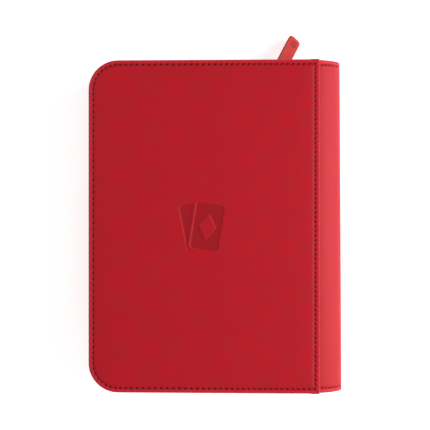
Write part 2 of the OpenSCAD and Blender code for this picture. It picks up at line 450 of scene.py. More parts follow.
class Effects:
    """The shader groups that more than one finish uses, each built once."""

    _made: dict = {}

    @classmethod
    def _once(cls, name: str, build: Callable[[], bpy.types.NodeTree]) -> bpy.types.NodeTree:
        """Builds a group the first time it is asked for."""
        if name not in cls._made:
            cls._made[name] = build()
        return cls._made[name]

    @classmethod
    def place(cls, w: Wiring, name: str, **values: object) -> dict:
        """Puts a group into a material and returns its outputs by name."""
        builders = {"lattice emboss": cls._lattice, "needle row": cls._needle_row, "woven cloth": cls._woven,
                    "mottle": cls._mottle}
        made = w.node("ShaderNodeGroup")
        made.node_tree = cls._once(name, builders[name])
        for label, value in values.items():
            w.feed(made.inputs[label.replace("_", " ")], value)
        return {s.name: s for s in made.outputs}

    @staticmethod
    def _lattice() -> bpy.types.NodeTree:
        """Raised yarns that cross on the diagonal, as pressed into coated cloth.

        With a and b the distances along the two diagonals in pitches, the yarns
        are |sin(pi a)| and |sin(pi b)|, and each lies over the other where
        sin(pi a) sin(pi b) is positive. Fine noise roughens them.
        """
        group, w, i, sink = new_group("lattice emboss", {"Place": None, "Pitch": 1.1, "Grain": 0.25},
                                      ["Height", "Valley"])
        x, y, _ = w.split(i["Place"])
        a = w.maths("DIVIDE", w.maths("ADD", x, y), w.maths("MULTIPLY", i["Pitch"], 1.41421))
        b = w.maths("DIVIDE", w.maths("SUBTRACT", x, y), w.maths("MULTIPLY", i["Pitch"], 1.41421))
        wobble = w.maths("MULTIPLY", w.maths("SUBTRACT", w.noise(i["Place"], 0.35, 2.0), 0.5), 0.35)
        yarn = [w.maths("SINE", w.maths("MULTIPLY", w.maths("ADD", v, wobble), math.pi)) for v in (a, b)]
        ridge = [w.maths("POWER", w.maths("ABSOLUTE", v), 0.6) for v in yarn]
        over = w.spread(w.maths("MULTIPLY", *yarn), -0.15, 0.15)
        crossed = w.maths("ADD", w.maths("MULTIPLY", ridge[0], over),
                          w.maths("MULTIPLY", ridge[1], w.maths("SUBTRACT", 1.0, over)))
        both = w.maths("MULTIPLY", ridge[0], ridge[1])
        plain = w.maths("ADD", w.maths("MULTIPLY", crossed, 0.45), w.maths("MULTIPLY", both, 0.55))
        speck = w.maths("MULTIPLY", w.noise(i["Place"], 3.5, 4.0, 0.7), i["Grain"])
        w.feed(sink.inputs["Height"], w.maths("ADD", plain, speck))
        soft = w.maths("MULTIPLY", *[w.maths("ABSOLUTE", v) for v in yarn])
        w.feed(sink.inputs["Valley"], w.maths("SUBTRACT", 1.0, soft))
        return group

    @staticmethod
    def _needle_row() -> bpy.types.NodeTree:
        """Holes at every whole count along a seam, and the pull of the thread round them.

        The distance from a hole is sqrt(((u - round u) * pitch)^2 + (v - inset)^2),
        with u the count along the seam and v the distance from the edge.
        """
        group, w, i, sink = new_group(
            "needle row", {"Seam": None, "Pitch": 3.8, "Inset": 3.3, "Radius": 0.70}, ["Hole", "Pull", "Groove"])
        u, v, _ = w.split(i["Seam"])
        along = w.maths("MULTIPLY", w.maths("SUBTRACT", u, w.maths("ROUND", u)), i["Pitch"])
        off = w.maths("SUBTRACT", v, i["Inset"])
        reach = w.maths("SQRT", w.maths("ADD", w.maths("MULTIPLY", along, along), w.maths("MULTIPLY", off, off)))
        hole = w.maths("SUBTRACT", 1.0, w.spread(w.maths("DIVIDE", reach, i["Radius"]), 0.7, 1.35))
        pull = w.maths("SUBTRACT", 1.0, w.spread(reach, 0.3, 1.9))
        w.feed(sink.inputs["Hole"], hole)
        w.feed(sink.inputs["Pull"], pull)
        w.feed(sink.inputs["Groove"], w.maths("SUBTRACT", 1.0, w.spread(w.maths("ABSOLUTE", off), 0.15, 0.8)))
        return group

    @staticmethod
    def _woven() -> bpy.types.NodeTree:
        """A plain weave of round yarns running along and across the cloth.

        Height is the higher of the two yarns, each |sin| across its own width,
        and lifted where sin(pi x) sin(pi y) says that it passes over.
        """
        group, w, i, sink = new_group("woven cloth", {"Place": None, "Pitch": 0.5, "Slant": 0.0}, ["Height", "Over"])
        x, y, _ = w.split(i["Place"])
        slanted = w.maths("ADD", x, w.maths("MULTIPLY", y, i["Slant"]))
        turn = [w.maths("MULTIPLY", w.maths("DIVIDE", v, i["Pitch"]), math.pi) for v in (slanted, y)]
        wave = [w.maths("SINE", v) for v in turn]
        over = w.spread(w.maths("MULTIPLY", *wave), -0.25, 0.25)
        warp = w.maths("MULTIPLY", w.maths("ABSOLUTE", wave[0]), w.maths("ADD", 0.45, w.maths("MULTIPLY", over, 0.55)))
        weft = w.maths("MULTIPLY", w.maths("ABSOLUTE", wave[1]),
                       w.maths("SUBTRACT", 1.0, w.maths("MULTIPLY", over, 0.55)))
        w.feed(sink.inputs["Height"], w.maths("MAXIMUM", warp, weft))
        w.feed(sink.inputs["Over"], over)
        return group

    @staticmethod
    def _mottle() -> bpy.types.NodeTree:
        """Slow and fine unevenness of colour, both between 0 and 1."""
        group, w, i, sink = new_group("mottle", {"Place": None}, ["Slow", "Fine"])
        w.feed(sink.inputs["Slow"], w.noise(i["Place"], 35.0, 3.0))
        w.feed(sink.inputs["Fine"], w.noise(i["Place"], 900.0, 4.0, 0.65))
        return group


class Finish:
    """A material being built: its shader, its wiring and the places it reads."""

    def __init__(self, name: str, roughness: float, metallic: float = 0.0) -> None:
        """Starts a material with a Principled shader."""
        self.material = bpy.data.materials.new(name)
        self.material.use_nodes = True
        tree = self.material.node_tree
        tree.nodes.clear()
        self.w = Wiring(tree)
        self.shader = self.w.node("ShaderNodeBsdfPrincipled")
        self.shader.inputs["Roughness"].default_value = roughness
        self.shader.inputs["Metallic"].default_value = metallic
        out = self.w.node("ShaderNodeOutputMaterial")
        tree.links.new(self.shader.outputs[0], out.inputs["Surface"])
        self._places = self.w.node("ShaderNodeTexCoord")

    @property
    def object_place(self) -> bpy.types.NodeSocket:
        """The point in the row frame, in metres."""
        return self._places.outputs["Object"]

    def uv(self, name: str) -> bpy.types.NodeSocket:
        """One of the piece's own UV maps."""
        return self.w.node("ShaderNodeUVMap", uv_map=name).outputs[0]

    def attribute(self, name: str) -> bpy.types.NodeSocket:
        """One of the piece's own point values."""
        return self.w.node("ShaderNodeAttribute", attribute_name=name).outputs["Fac"]

    def colour(self, value: object) -> None:
        """Feeds the base colour."""
        self.w.feed(self.shader.inputs["Base Color"], value)

    def roughness(self, value: object) -> None:
        """Feeds the roughness."""
        self.w.feed(self.shader.inputs["Roughness"], value)

    def normal(self, value: bpy.types.NodeSocket) -> None:
        """Feeds the normal."""
        self.w.feed(self.shader.inputs["Normal"], value)

    def fixed(self, **values: object) -> None:
        """Sets sockets that are the same all over the surface."""
        for name, value in values.items():
            self.shader.inputs[name.replace("_", " ")].default_value = value


@dataclass(frozen=True)
class Leatherette:
    """Coated cloth with a diagonal weave pressed into it, with painted shade in the weave's valleys."""

    colour: tuple = (0.59, 0.0035, 0.016)
    # The colour of the painted highlight along the rolled edges.
    bright: tuple = (0.66, 0.022, 0.045)
    # The painted shade colour for the weave's valleys and the seam groove; the pressed emblem is tinted towards it as
    # well.
    deep: tuple = (0.30, 0.0010, 0.006)
    # The near-black painted shade inside each needle hole.
    hole: tuple = (0.022, 0.001, 0.002)
    pitch: float = 1.04
    emboss_mm: float = 0.11
    stitch_pitch: float = 4.0
    stitch_inset: float = 3.3

    def material(self, name: str) -> bpy.types.Material:
        """Builds the finish under a name."""
        f = Finish(name, 0.5)
        w, cloth, seam = f.w, f.uv(CLOTH_UV), f.uv(SEAM_UV)
        smooth = f.attribute(PRESSED)
        lattice = Effects.place(w, "lattice emboss", Place=cloth, Pitch=self.pitch, Grain=0.2)
        row = Effects.place(w, "needle row", Seam=seam, Pitch=self.stitch_pitch, Inset=self.stitch_inset)
        mottle = Effects.place(w, "mottle", Place=f.object_place)
        shown = w.maths("SUBTRACT", 1.0, w.maths("MULTIPLY", smooth, 0.8))
        # Painted shade: the weave's valleys are tinted towards the deep colour; the pressed emblem is darker all over.
        valley = w.maths("ADD", w.maths("MULTIPLY", lattice["Valley"], shown), w.maths("MULTIPLY", smooth, 0.85))
        base = w.tint(w.spread(mottle["Slow"], 0.3, 0.7), rgba(self.colour),
                      rgba([c * 0.95 for c in self.colour]))
        woven = w.tint(valley, base, rgba(self.deep))
        _, edge, _ = w.split(seam)
        # Painted highlight: within about 3 mm of an edge the colour is lifted towards a lighter red, broken up by fine
        # noise.
        rubbed = w.maths("MULTIPLY", w.maths("SUBTRACT", 1.0, w.spread(edge, 1.2, 3.0)), 0.6)
        edge_lit = w.tint(w.maths("MULTIPLY", rubbed, w.spread(mottle["Fine"], 0.25, 0.65)), woven, rgba(self.bright))
        # Painted shade along the seam groove, tinted towards the deep colour.
        sewn = w.tint(w.maths("MULTIPLY", row["Groove"], 0.3), edge_lit, rgba(self.deep))
        # Painted shade: each needle hole is coloured near black.
        f.colour(w.tint(row["Hole"], sewn, rgba(self.hole)))
        height = w.maths("MULTIPLY", lattice["Height"], shown)
        f.roughness(w.spread(w.maths("ADD", height, w.maths("MULTIPLY", mottle["Fine"], 0.3)), 0.1, 1.2, 0.62, 0.46))
        relief = w.bump(height, self.emboss_mm)
        f.normal(w.bump(w.maths("MULTIPLY", row["Pull"], -1.0), 0.35, 0.8, relief))
        f.fixed(Specular_IOR_Level=0.22)
        return f.material


@dataclass(frozen=True)
class SewingThread:
    """Twisted polyester thread: slanted plies round a tube, with painted shade between the plies and a soft sheen."""

    colour: tuple = (0.46, 0.007, 0.018)
    shade: tuple = (0.20, 0.002, 0.007)
    plies: float = 7.0

    def material(self, name: str) -> bpy.types.Material:
        """Builds the finish under a name."""
        f = Finish(name, 0.55)
        w = f.w
        x, y, _ = w.split(f.uv(CLOTH_UV))
        twist = w.maths("SINE", w.maths("MULTIPLY", w.maths("ADD", w.maths("MULTIPLY", x, self.plies), y), 2 * math.pi))
        ply = w.spread(twist, -1.0, 0.6)
        # Painted shade: the thread is tinted towards its shade colour between the plies.
        f.colour(w.tint(ply, rgba(self.shade), rgba(self.colour)))
        f.normal(w.bump(ply, 0.08))
        f.fixed(Specular_IOR_Level=0.2)
        return f.material


@dataclass(frozen=True)
class Cloth:
    """Woven cloth: yarns with painted shade between them, a soft sheen and slow unevenness of colour."""

    colour: tuple
    shade: tuple
    pitch: float = 0.5
    slant: float = 0.0
    depth_mm: float = 0.09
    sheen: float = 0.2
    rough: float = 0.82

    def material(self, name: str) -> bpy.types.Material:
        """Builds the finish under a name."""
        f = Finish(name, self.rough)
        w = f.w
        weave = Effects.place(w, "woven cloth", Place=f.uv(CLOTH_UV), Pitch=self.pitch, Slant=self.slant)
        mottle = Effects.place(w, "mottle", Place=f.object_place)
        # Painted shade: the gaps between the yarns are tinted towards the shade colour.
        yarn = w.tint(w.spread(weave["Height"], 0.15, 0.9), rgba(self.shade), rgba(self.colour))
        f.colour(w.tint(w.maths("MULTIPLY", w.spread(mottle["Slow"], 0.35, 0.7), 0.35), yarn, rgba(self.shade)))
        f.roughness(w.spread(mottle["Fine"], 0.2, 0.8, self.rough - 0.08, self.rough + 0.06))
        f.normal(w.bump(weave["Height"], self.depth_mm))
        f.fixed(Sheen_Weight=self.sheen, Sheen_Roughness=0.5)
        return f.material


@dataclass(frozen=True)
class Moulded:
    """Moulded plastic or rubber: a fine pebbled skin, rubbed smoother in places, and painted shade where points are
    marked pressed.
    """

    colour: tuple
    rough: float = 0.45
    grain_mm: float = 0.02
    scale: float = 1800.0
    coat: float = 0.0
    specular: float = 0.45
    painted_side_shade: float = 0.8

    def material(self, name: str) -> bpy.types.Material:
        """Builds the finish under a name."""
        f = Finish(name, self.rough)
        w = f.w
        mottle = Effects.place(w, "mottle", Place=f.object_place)
        grain = w.noise(f.object_place, self.scale, 3.0, 0.6)
        base = w.tint(w.spread(mottle["Slow"], 0.3, 0.7), rgba(self.colour), rgba([c * 0.88 for c in self.colour]))
        # Painted shade: where points are marked pressed (the pull tab's sides, ends and grip grooves) the colour is
        # darkened towards a fifth of itself.
        cut = w.maths("MULTIPLY", f.attribute(PRESSED), self.painted_side_shade)
        f.colour(w.tint(cut, base, rgba([c * 0.2 for c in self.colour])))
        f.roughness(w.spread(mottle["Fine"], 0.25, 0.75, self.rough - 0.07, self.rough + 0.09))
        f.normal(w.bump(grain, self.grain_mm))
        f.fixed(Specular_IOR_Level=self.specular, Coat_Weight=self.coat, Coat_Roughness=0.2)
        return f.material


@dataclass(frozen=True)
class Metal:
    """Metal, bare or painted: fine scratches, and paint rubbed thin in places."""

    colour: tuple
    metallic: float = 1.0
    rough: float = 0.2
    coat: float = 0.0

    def material(self, name: str) -> bpy.types.Material:
        """Builds the finish under a name."""
        f = Finish(name, self.rough, self.metallic)
        w = f.w
        mottle = Effects.place(w, "mottle", Place=f.object_place)
        x, y, z = w.split(f.object_place)
        stretched = w.node("ShaderNodeCombineXYZ")
        for socket, value in zip(stretched.inputs, (w.maths("MULTIPLY", x, 0.15), y, z)):
            w.feed(socket, value)
        scratch = w.noise(stretched.outputs[0], 6000.0, 2.0)
        f.colour(w.tint(w.spread(mottle["Fine"], 0.35, 0.8), rgba(self.colour), rgba([c * 0.8 for c in self.colour])))
        f.roughness(w.spread(scratch, 0.3, 0.7, self.rough - 0.06, self.rough + 0.1))
        f.normal(w.bump(scratch, 0.004))
        f.fixed(Coat_Weight=self.coat, Coat_Roughness=0.15)
        return f.material


@dataclass(frozen=True)
class ClearFilm:
    """Thin clear pocket film: glossy, faintly milky and wavy."""

    def material(self, name: str) -> bpy.types.Material:
        """Builds the finish under a name."""
        f = Finish(name, 0.14)
        w = f.w
        wave = w.noise(f.object_place, 60.0, 2.0)
        f.colour(w.tint(wave, (0.16, 0.165, 0.175, 1.0), (0.24, 0.245, 0.255, 1.0)))
        f.roughness(w.spread(wave, 0.3, 0.7, 0.12, 0.24))
        f.normal(w.bump(wave, 0.3, 0.6))
        f.fixed(Alpha=0.28, Specular_IOR_Level=0.6)
        return f.material


@dataclass(frozen=True)
class Board:
    """Grey board: fibres and flecks."""

    colour: tuple = (0.42, 0.37, 0.31)

    def material(self, name: str) -> bpy.types.Material:
        """Builds the finish under a name."""
        f = Finish(name, 0.9)
        w = f.w
        fleck = w.noise(f.object_place, 1400.0, 5.0, 0.7)
        f.colour(w.tint(w.spread(fleck, 0.4, 0.65), rgba(self.colour), rgba([c * 0.6 for c in self.colour])))
        f.normal(w.bump(fleck, 0.05))
        return f.material


class Palette:
    """Every material of the binder, built once."""

    def __init__(self) -> None:
        """Builds the materials."""
        self.cover = Leatherette().material("red_leatherette")
        self.thread = SewingThread().material("red_thread")
        self.zip_tape = Cloth((0.42, 0.012, 0.03), (0.13, 0.003, 0.008), pitch=0.42, slant=0.6,
                              depth_mm=0.10).material("zip_tape_weave")
        self.teeth = Moulded((0.46, 0.014, 0.035), rough=0.34, grain_mm=0.008, coat=0.15).material("zip_teeth_nylon")
        self.slider = Metal((0.50, 0.015, 0.035), metallic=0.35, rough=0.3, coat=0.5).material("slider_red_paint")
        self.plated = Metal((0.78, 0.78, 0.80), rough=0.16).material("bright_plate")
        pull = Moulded((0.50, 0.032, 0.026), rough=0.55, grain_mm=0.03, scale=1500.0, specular=0.2)
        self.pull = pull.material("pull_rubber")
        self.lining = Cloth((0.030, 0.030, 0.033), (0.008, 0.008, 0.009), pitch=0.45,
                            sheen=0.3).material("black_lining")
        self.binding = Cloth((0.026, 0.026, 0.028), (0.007, 0.007, 0.008), pitch=0.8, depth_mm=0.14,
                             sheen=0.3).material("black_binding_tape")
        self.core = Moulded((0.012, 0.012, 0.013), rough=0.5, grain_mm=0.006).material("black_leaf_core")
        self.weld = Moulded((0.05, 0.05, 0.055), rough=0.35, grain_mm=0.03).material("leaf_weld")
        self.film = ClearFilm().material("clear_film")
        self.board = Board().material("grey_board")


# ---------------------------------------------------------------- covers


def outward(shape: Shape) -> Shape:
    """Turns a closed shape's faces outwards, by the sign of its volume."""
    at = shape.points[shape.corners]
    starts = np.cumsum(shape.sizes) - shape.sizes
    first = np.repeat(at[starts], shape.sizes, axis=0)
    follow = np.arange(len(at)) + 1
    follow[starts + shape.sizes - 1] = starts
    volume = float(np.einsum("ij,ij->", first, np.cross(at, at[follow])))
    return shape.reversed() if volume < 0 else shape


@dataclass(frozen=True)
class Outline:
    """A cover's edge, drawn in by any inset: round at the fore-edge, square at the fold.

    Seen from above it runs anticlockwise: tail, fold, head, head corner,
    fore-edge, tail corner. On a side, a share t of the way along stays at the
    share t of that side at every inset.
    """

    layout: Layout
    stitch_inset: float = 3.3
    fold_pitch: float = 3.26
    pitches: tuple = (4.25, 3.6, 4.4)
    near_fold: float = 3.85
    fine_x: float = 18.5
    fine_y: float = 19.0
    arc_steps: int = 30

    @property
    def core(self) -> tuple:
        """Half width and half height of the block inside the corner radius."""
        return self.layout.half_w - self.layout.corner_r, self.layout.half_h - self.layout.corner_r

    def shares(self, half: float, fine: float, coarse_step: float = 1.3, fine_step: float = 0.4) -> np.ndarray:
        """Shares along a side, closer together in its middle stretch of 2 * fine."""
        outer = np.linspace(-half, -fine, int((half - fine) / coarse_step) + 1)
        middle = np.linspace(-fine, fine, int(2 * fine / fine_step) + 1)
        at = np.concatenate([outer, middle[1:-1], -outer[::-1]])
        return (at + half) / (2 * half)

    @property
    def cols(self) -> np.ndarray:
        """Shares along the head and tail sides."""
        return self.shares(self.core[0], self.fine_x)

    @property
    def rows(self) -> np.ndarray:
        """Shares along the fore-edge and the fold."""
        return self.shares(self.core[1], self.fine_y)

    def sides(self, inset: np.ndarray, fold_inset: Optional[np.ndarray] = None) -> list:
        """The six runs of the edge at every inset.

        Beside the fold, where the skin's corners are turned in, the head and tail
        edges stand 0.3 mm proud.

        Args:
            inset: how far in from the edge, one number for each ring.
            fold_inset: the same at the fold, when it differs.

        Returns:
            Arrays of rings by points by 2, in the order of the outline.
        """
        lay = self.layout
        d = inset[:, None]
        f = d if fold_inset is None else fold_inset[:, None]
        left, right, top = -lay.half_w + lay.corner_r, lay.half_w - f, lay.half_h - d
        across = left + (right - left) * self.cols[None, :]
        upward = top * (2 * self.rows[None, :] - 1)
        centre_y = lay.half_h - lay.corner_r
        turn = np.linspace(math.pi / 2, math.pi, self.arc_steps + 1)[None, :]
        arc_x = left + (lay.corner_r - d) * np.cos(turn)
        arc_y = centre_y + (lay.corner_r - d) * np.sin(turn)
        fore = np.broadcast_to(-lay.half_w + d, upward.shape)
        down = centre_y * (1 - 2 * self.rows[None, :]) * np.ones_like(d)
        turned_in = 0.3 * smoothstep(lay.half_w - 5.6, lay.half_w - 4.6, across) * smoothstep(3.0, 1.2, d)
        runs = [(across, -top * np.ones_like(across) - turned_in), (right * np.ones_like(upward), upward),
                (across[:, ::-1], (top * np.ones_like(across) + turned_in)[:, ::-1]), (arc_x, arc_y), (fore, down),
                (arc_x[:, ::-1], -arc_y[:, ::-1])]
        return [np.stack(run, axis=-1) for run in runs]

    def stitch_counts(self) -> list:
        """How many stitches have passed at each point of each run.

        The round seam starts at the fold's head corner and ends at its tail
        corner. Its pitch is long on the fore-edge, short round the corners, and
        grows from near_fold to the side's own on the head and tail, and a count
        is the sum of step / pitch. The fold's own seam runs from tail to head.
        """
        runs = [run[0] for run in self.sides(np.array([self.stitch_inset]))]
        side, corner, fore = self.pitches
        order = [2, 3, 4, 5, 0]
        taken = {1: np.linalg.norm(np.diff(runs[1], axis=0), axis=1) / self.fold_pitch}
        for i in order:
            middle = (runs[i][1:] + runs[i][:-1]) / 2
            if i == 4:
                along = corner + (fore - corner) * smoothstep(self.core[1], self.core[1] - 14, np.abs(middle[:, 1]))
            elif i in (3, 5):
                along = np.full(len(middle), corner)
            else:
                near_side = self.near_fold + (side - self.near_fold) * smoothstep(40.0, -20.0, middle[:, 0])
                near_corner = corner + (side - corner) * smoothstep(-self.core[0], 14 - self.core[0], middle[:, 0])
                along = np.minimum(near_side, near_corner)
            taken[i] = np.linalg.norm(np.diff(runs[i], axis=0), axis=1) / along
        total = sum(taken[i].sum() for i in order)
        scale, start, counts = round(total) / total, 0.0, {}
        for i in order:
            counts[i] = (start + np.concatenate([[0.0], np.cumsum(taken[i])])) * scale
            start += taken[i].sum()
        counts[1] = np.concatenate([[0.0], np.cumsum(taken[1])]) * round(taken[1].sum()) / taken[1].sum()
        return [counts[i] for i in range(6)]

    def seam_lines(self, inset: Optional[float] = None) -> tuple:
        """The round seam and the fold's seam, each as points with their stitch counts."""
        at = np.array([self.stitch_inset if inset is None else inset])
        runs, counts = [run[0] for run in self.sides(at)], self.stitch_counts()
        order = [2, 3, 4, 5, 0]
        round_line = np.concatenate([runs[i] for i in order])
        round_count = np.concatenate([counts[i] for i in order])
        keep = np.concatenate([[True], np.diff(round_count) > 1e-9])
        return (round_line[keep], round_count[keep]), (runs[1], counts[1])


def rounded_rectangle(x: np.ndarray, y: np.ndarray, w: float, h: float, r: float) -> np.ndarray:
    """Signed distance to a rounded rectangle: |max(q, 0)| + min(max(q), 0) - r, q = |p| - half + r."""
    qx, qy = np.abs(x) - w / 2 + r, np.abs(y) - h / 2 + r
    return np.hypot(np.maximum(qx, 0), np.maximum(qy, 0)) + np.minimum(np.maximum(qx, qy), 0) - r


@dataclass(frozen=True)
class Emblem:
    """A fanned pair of plain cards, the nearer with a raised diamond."""

    card: tuple = (20.5, 33.0, 2.6)
    rear: tuple = (-4.2, 0.4, 11.0)
    near: tuple = (3.0, -0.4, -9.0)
    line: float = 1.1
    diamond: tuple = (5.8, 8.8)
    slope: float = 0.75

    def _local(self, x: np.ndarray, y: np.ndarray, place: tuple) -> tuple:
        """Coordinates in a card's own frame, from its centre and turn."""
        turn = math.radians(place[2])
        dx, dy = x - place[0], y - place[1]
        return dx * math.cos(turn) + dy * math.sin(turn), dy * math.cos(turn) - dx * math.sin(turn)

    def mask(self, x: np.ndarray, y: np.ndarray) -> np.ndarray:
        """1 where the skin is pressed down, 0 outside, with a soft step between them."""
        rear = rounded_rectangle(*self._local(x, y, self.rear), *self.card)
        nx, ny = self._local(x, y, self.near)
        near = rounded_rectangle(nx, ny, *self.card)
        half_w, half_h = self.diamond
        gem = (np.abs(nx) / half_w + np.abs(ny) / half_h - 1) * half_w * half_h / math.hypot(half_w, half_h)
        edge = np.minimum(np.maximum(rear, self.line - near), np.maximum(near, -gem))
        return 1 - smoothstep(-self.slope, 0.0, edge)


def stitch_tubes(line: np.ndarray, counts: np.ndarray, height: Callable[[np.ndarray], np.ndarray], radius: float = 0.21,
                 reach: float = 0.27, sections: int = 7) -> Shape:
    """One arched tube of thread for each stitch on a flat line.

    A stitch runs from count - reach to count + reach round each half count, and
    its height over the line is 0.2 * sqrt(sin(pi t)) - 0.12.

    Args:
        line: the seam's points, by 2.
        counts: the stitch count at each point.
        height: gives the seam's height from the points on it.
        radius: the thread's radius.
        reach: half a stitch's length, in stitches.
        sections: sections along a stitch.

    Returns:
        All the stitches.
    """
    first, last = math.ceil(counts.min() - 1e-6), math.floor(counts.max() + 1e-6)
    middle = np.arange(first, last) + 0.5
    t = np.linspace(0, 1, sections)
    at = middle[:, None] + reach * (2 * t[None, :] - 1)
    order = np.argsort(counts)
    place = np.stack([np.interp(at, counts[order], line[order, axis]) for axis in (0, 1)], axis=-1)
    direction = np.gradient(place, axis=1)
    direction /= np.linalg.norm(direction, axis=-1, keepdims=True)
    across = np.stack([-direction[..., 1], direction[..., 0], np.zeros(at.shape)], axis=-1)
    up = np.broadcast_to(np.array([0.0, 0.0, 1.0]), across.shape)
    arch = 0.2 * np.sqrt(np.sin(math.pi * t)) - 0.12
    centres = np.concatenate([place, (height(place) + arch)[..., None]], axis=-1)
    radii = radius * np.sqrt(np.clip(1 - np.abs(2 * t - 1) ** 3.5, 0, 1))
    return closed_tubes(centres, across, up, radii, sides=6)


@dataclass(frozen=True)
class Cover:
    """A padded cover: a domed skin with a rolled and sewn edge, and a cloth lining."""

    layout: Layout
    side: Side
    outline: Outline
    palette: Palette
    band_drop: float = 0.50
    roll_r: float = 1.5
    groove: float = 0.42
    groove_w: float = 0.5
    dome_reach: float = 5.0
    hem_inset: float = 2.9
    fold_proud: float = 1.1
    emblem_drop: float = 0.5
    lining_inset: float = 4.2
    lining_proud: float = 0.05

    def drop(self, inset: np.ndarray, counts: np.ndarray) -> np.ndarray:
        """How far the face lies below its highest plane.

        The edge band lies band_drop low. Inside the seam that fades as
        exp(-(inset - seam) / dome_reach), and the seam itself is a groove
        exp(-((inset - seam) / groove_w)^2), deeper at the needle holes.
        """
        past = inset - self.outline.stitch_inset
        dome = np.where(past > 0, np.exp(-np.maximum(past, 0) / self.dome_reach), 1.0) * self.band_drop
        pull = 0.82 + 0.18 * np.cos(2 * math.pi * counts)
        return dome + self.groove * np.exp(-(past / self.groove_w) ** 2) * pull

    def edge_rows(self) -> tuple:
        """Insets and drops from the hem's inner edge, round the rolled edge, to the face."""
        t = self.layout.cover_t
        turn = np.linspace(0, math.pi / 2, 8)
        hem = [(self.hem_inset, t - 0.6), (self.hem_inset, t - 0.1), (self.hem_inset - 0.1, t), (1.6, t), (0.8, t),
               (0.32, t - 0.12), (0.08, t - 0.42), (0.0, t - 0.9), (0.0, t - 1.7), (0.0, t - 2.5)]
        roll_d = self.roll_r * (1 - np.cos(turn))
        roll_z = self.band_drop + self.roll_r * (1 - np.sin(turn))
        inset = np.concatenate([[d for d, _ in hem], roll_d])
        drop = np.concatenate([[z for _, z in hem], roll_z])
        return inset, drop

    def face_insets(self) -> np.ndarray:
        """Insets of the rings on the face, closest together round the seam."""
        s = self.outline.stitch_inset
        near = np.array([-1.25, -1.0, -0.75, -0.55, -0.36, -0.18, 0.0, 0.18, 0.36, 0.55, 0.75, 1.0, 1.35, 1.8, 2.5,
                         3.5])
        return np.concatenate([s + near, [8.0, 10.0, 12.5, 15.5, 18.5, self.layout.corner_r]])

    def at_fold(self, inset: np.ndarray) -> np.ndarray:
        """Insets at the fold, where the edge is turned tighter and the seam lies closer to it.

        The shift is 0.1 e^(-(i - 3) / 8) - proud e^(-(i / 12)^2), and it fades to nothing
        before the corner radius, where these rows meet the flat panel.
        """
        turned = smoothstep(1.0, 3.0, inset)
        shift = 0.1 * turned * np.exp(-np.maximum(inset - 3.0, 0) / 8)
        shift = shift - self.fold_proud * np.exp(-(inset / 12.0) ** 2)
        return inset * (0.42 + 0.58 * turned) + shift * (1 - smoothstep(9.0, self.layout.corner_r - 1.0, inset))

    def skin(self) -> Shape:
        """The whole skin as one closed shape, seen from the front cover's side."""
        edge_inset, edge_drop = self.edge_rows()
        face = self.face_insets()
        inset = np.concatenate([edge_inset, face])
        runs = self.outline.sides(inset, self.at_fold(inset))
        step = np.hypot(np.diff(edge_inset), np.diff(edge_drop))
        wrap = np.concatenate([[0.0], np.cumsum(step)])
        over = np.concatenate([wrap - wrap[-1] + edge_inset[-1], face])
        patches = []
        for run, counts in zip(runs, self.outline.stitch_counts()):
            drop = np.concatenate([np.broadcast_to(edge_drop[:, None], (len(edge_drop), len(counts))),
                                   self.drop(face[:, None], counts[None, :])])
            points = np.concatenate([run, (self.layout.thick - drop)[..., None]], axis=-1)
            normal = run[0] - run[-1]
            normal = normal / np.maximum(np.linalg.norm(normal, axis=-1, keepdims=True), 1e-9)
            cloth = run + normal[None] * (inset - over)[:, None, None]
            seam = np.stack(np.broadcast_arrays(counts[None, :], over[:, None]), axis=-1)
            patches.append(grid(points, cloth, seam))
        patches.append(self.panel())
        rim = np.concatenate([run[0, :-1] for run in runs])
        floor = np.concatenate([rim, np.full((len(rim), 1), self.layout.thick - edge_drop[0])], axis=-1)
        patches.append(lid(floor, upward=False))
        return outward(join(patches))

    def panel(self) -> Shape:
        """The block of the face inside the corner radius, with the emblem on the front cover."""
        half_x, half_y = self.outline.core
        x = half_x * (2 * self.outline.cols - 1)
        y = half_y * (2 * self.outline.rows - 1)
        gx, gy = np.meshgrid(x, y, indexing="ij")
        inset = np.minimum(self.layout.half_w - np.abs(gx), self.layout.half_h - np.abs(gy))
        drop = np.exp(-(inset - self.outline.stitch_inset) / self.dome_reach) * self.band_drop
        pressed = Emblem().mask(gx, gy) if self.side is Side.FRONT else np.zeros_like(gx)
        z = self.layout.thick - drop - self.emblem_drop * pressed
        seam = np.stack([np.zeros_like(inset), inset], axis=-1)
        return grid(np.stack([gx, gy, z], axis=-1), np.stack([gx, gy], axis=-1), seam, pressed)

    def threads(self) -> Shape:
        """The stitches of the round seam and of the fold's seam."""
        bed = self.layout.thick - self.band_drop - self.groove * 0.8

        def height(place: np.ndarray) -> np.ndarray:
            """The seam's bed is level all round."""
            return np.full(place.shape[:-1], bed)

        return join([stitch_tubes(line, counts, height) for line, counts in self.outline.seam_lines()])

    def lining(self) -> Shape:
        """The cloth panel inside the cover, with a low rolled edge and a seam map of its own."""
        t = self.layout.cover_t
        low = t + self.lining_proud
        rise = np.array([t - 0.55, t - 0.2, low - 0.06, low, low, low - 0.12, low, low])
        inset = self.lining_inset + np.array([0.0, 0.0, 0.06, 0.3, 0.9, 1.4, 1.9, 4.0])
        fold = inset - self.lining_inset + 3.0
        runs = self.outline.sides(inset, fold)
        patches = []
        for run, counts in zip(runs, self.outline.stitch_counts()):
            z = np.broadcast_to((self.layout.thick - rise)[:, None], run.shape[:2])
            seam = np.stack(np.broadcast_arrays(counts[None, :], (inset - self.lining_inset + 1.6)[:, None]), axis=-1)
            patches.append(grid(np.concatenate([run, z[..., None]], axis=-1), run, seam))
        for row, upward in ((0, True), (-1, False)):
            rim = np.concatenate([run[row, :-1] for run in runs])
            level = np.full((len(rim), 1), self.layout.thick - rise[row])
            patches.append(lid(np.concatenate([rim, level], axis=-1), upward))
        return outward(join(patches))

    def placed(self, shape: Shape) -> Shape:
        """A front-side shape as it is, or mirrored through the middle plane for the back."""
        if self.side is Side.FRONT:
            return shape
        return shape.mapped(lambda p: p * [1, 1, -1] + [0, 0, self.layout.thick], turn_over=True)

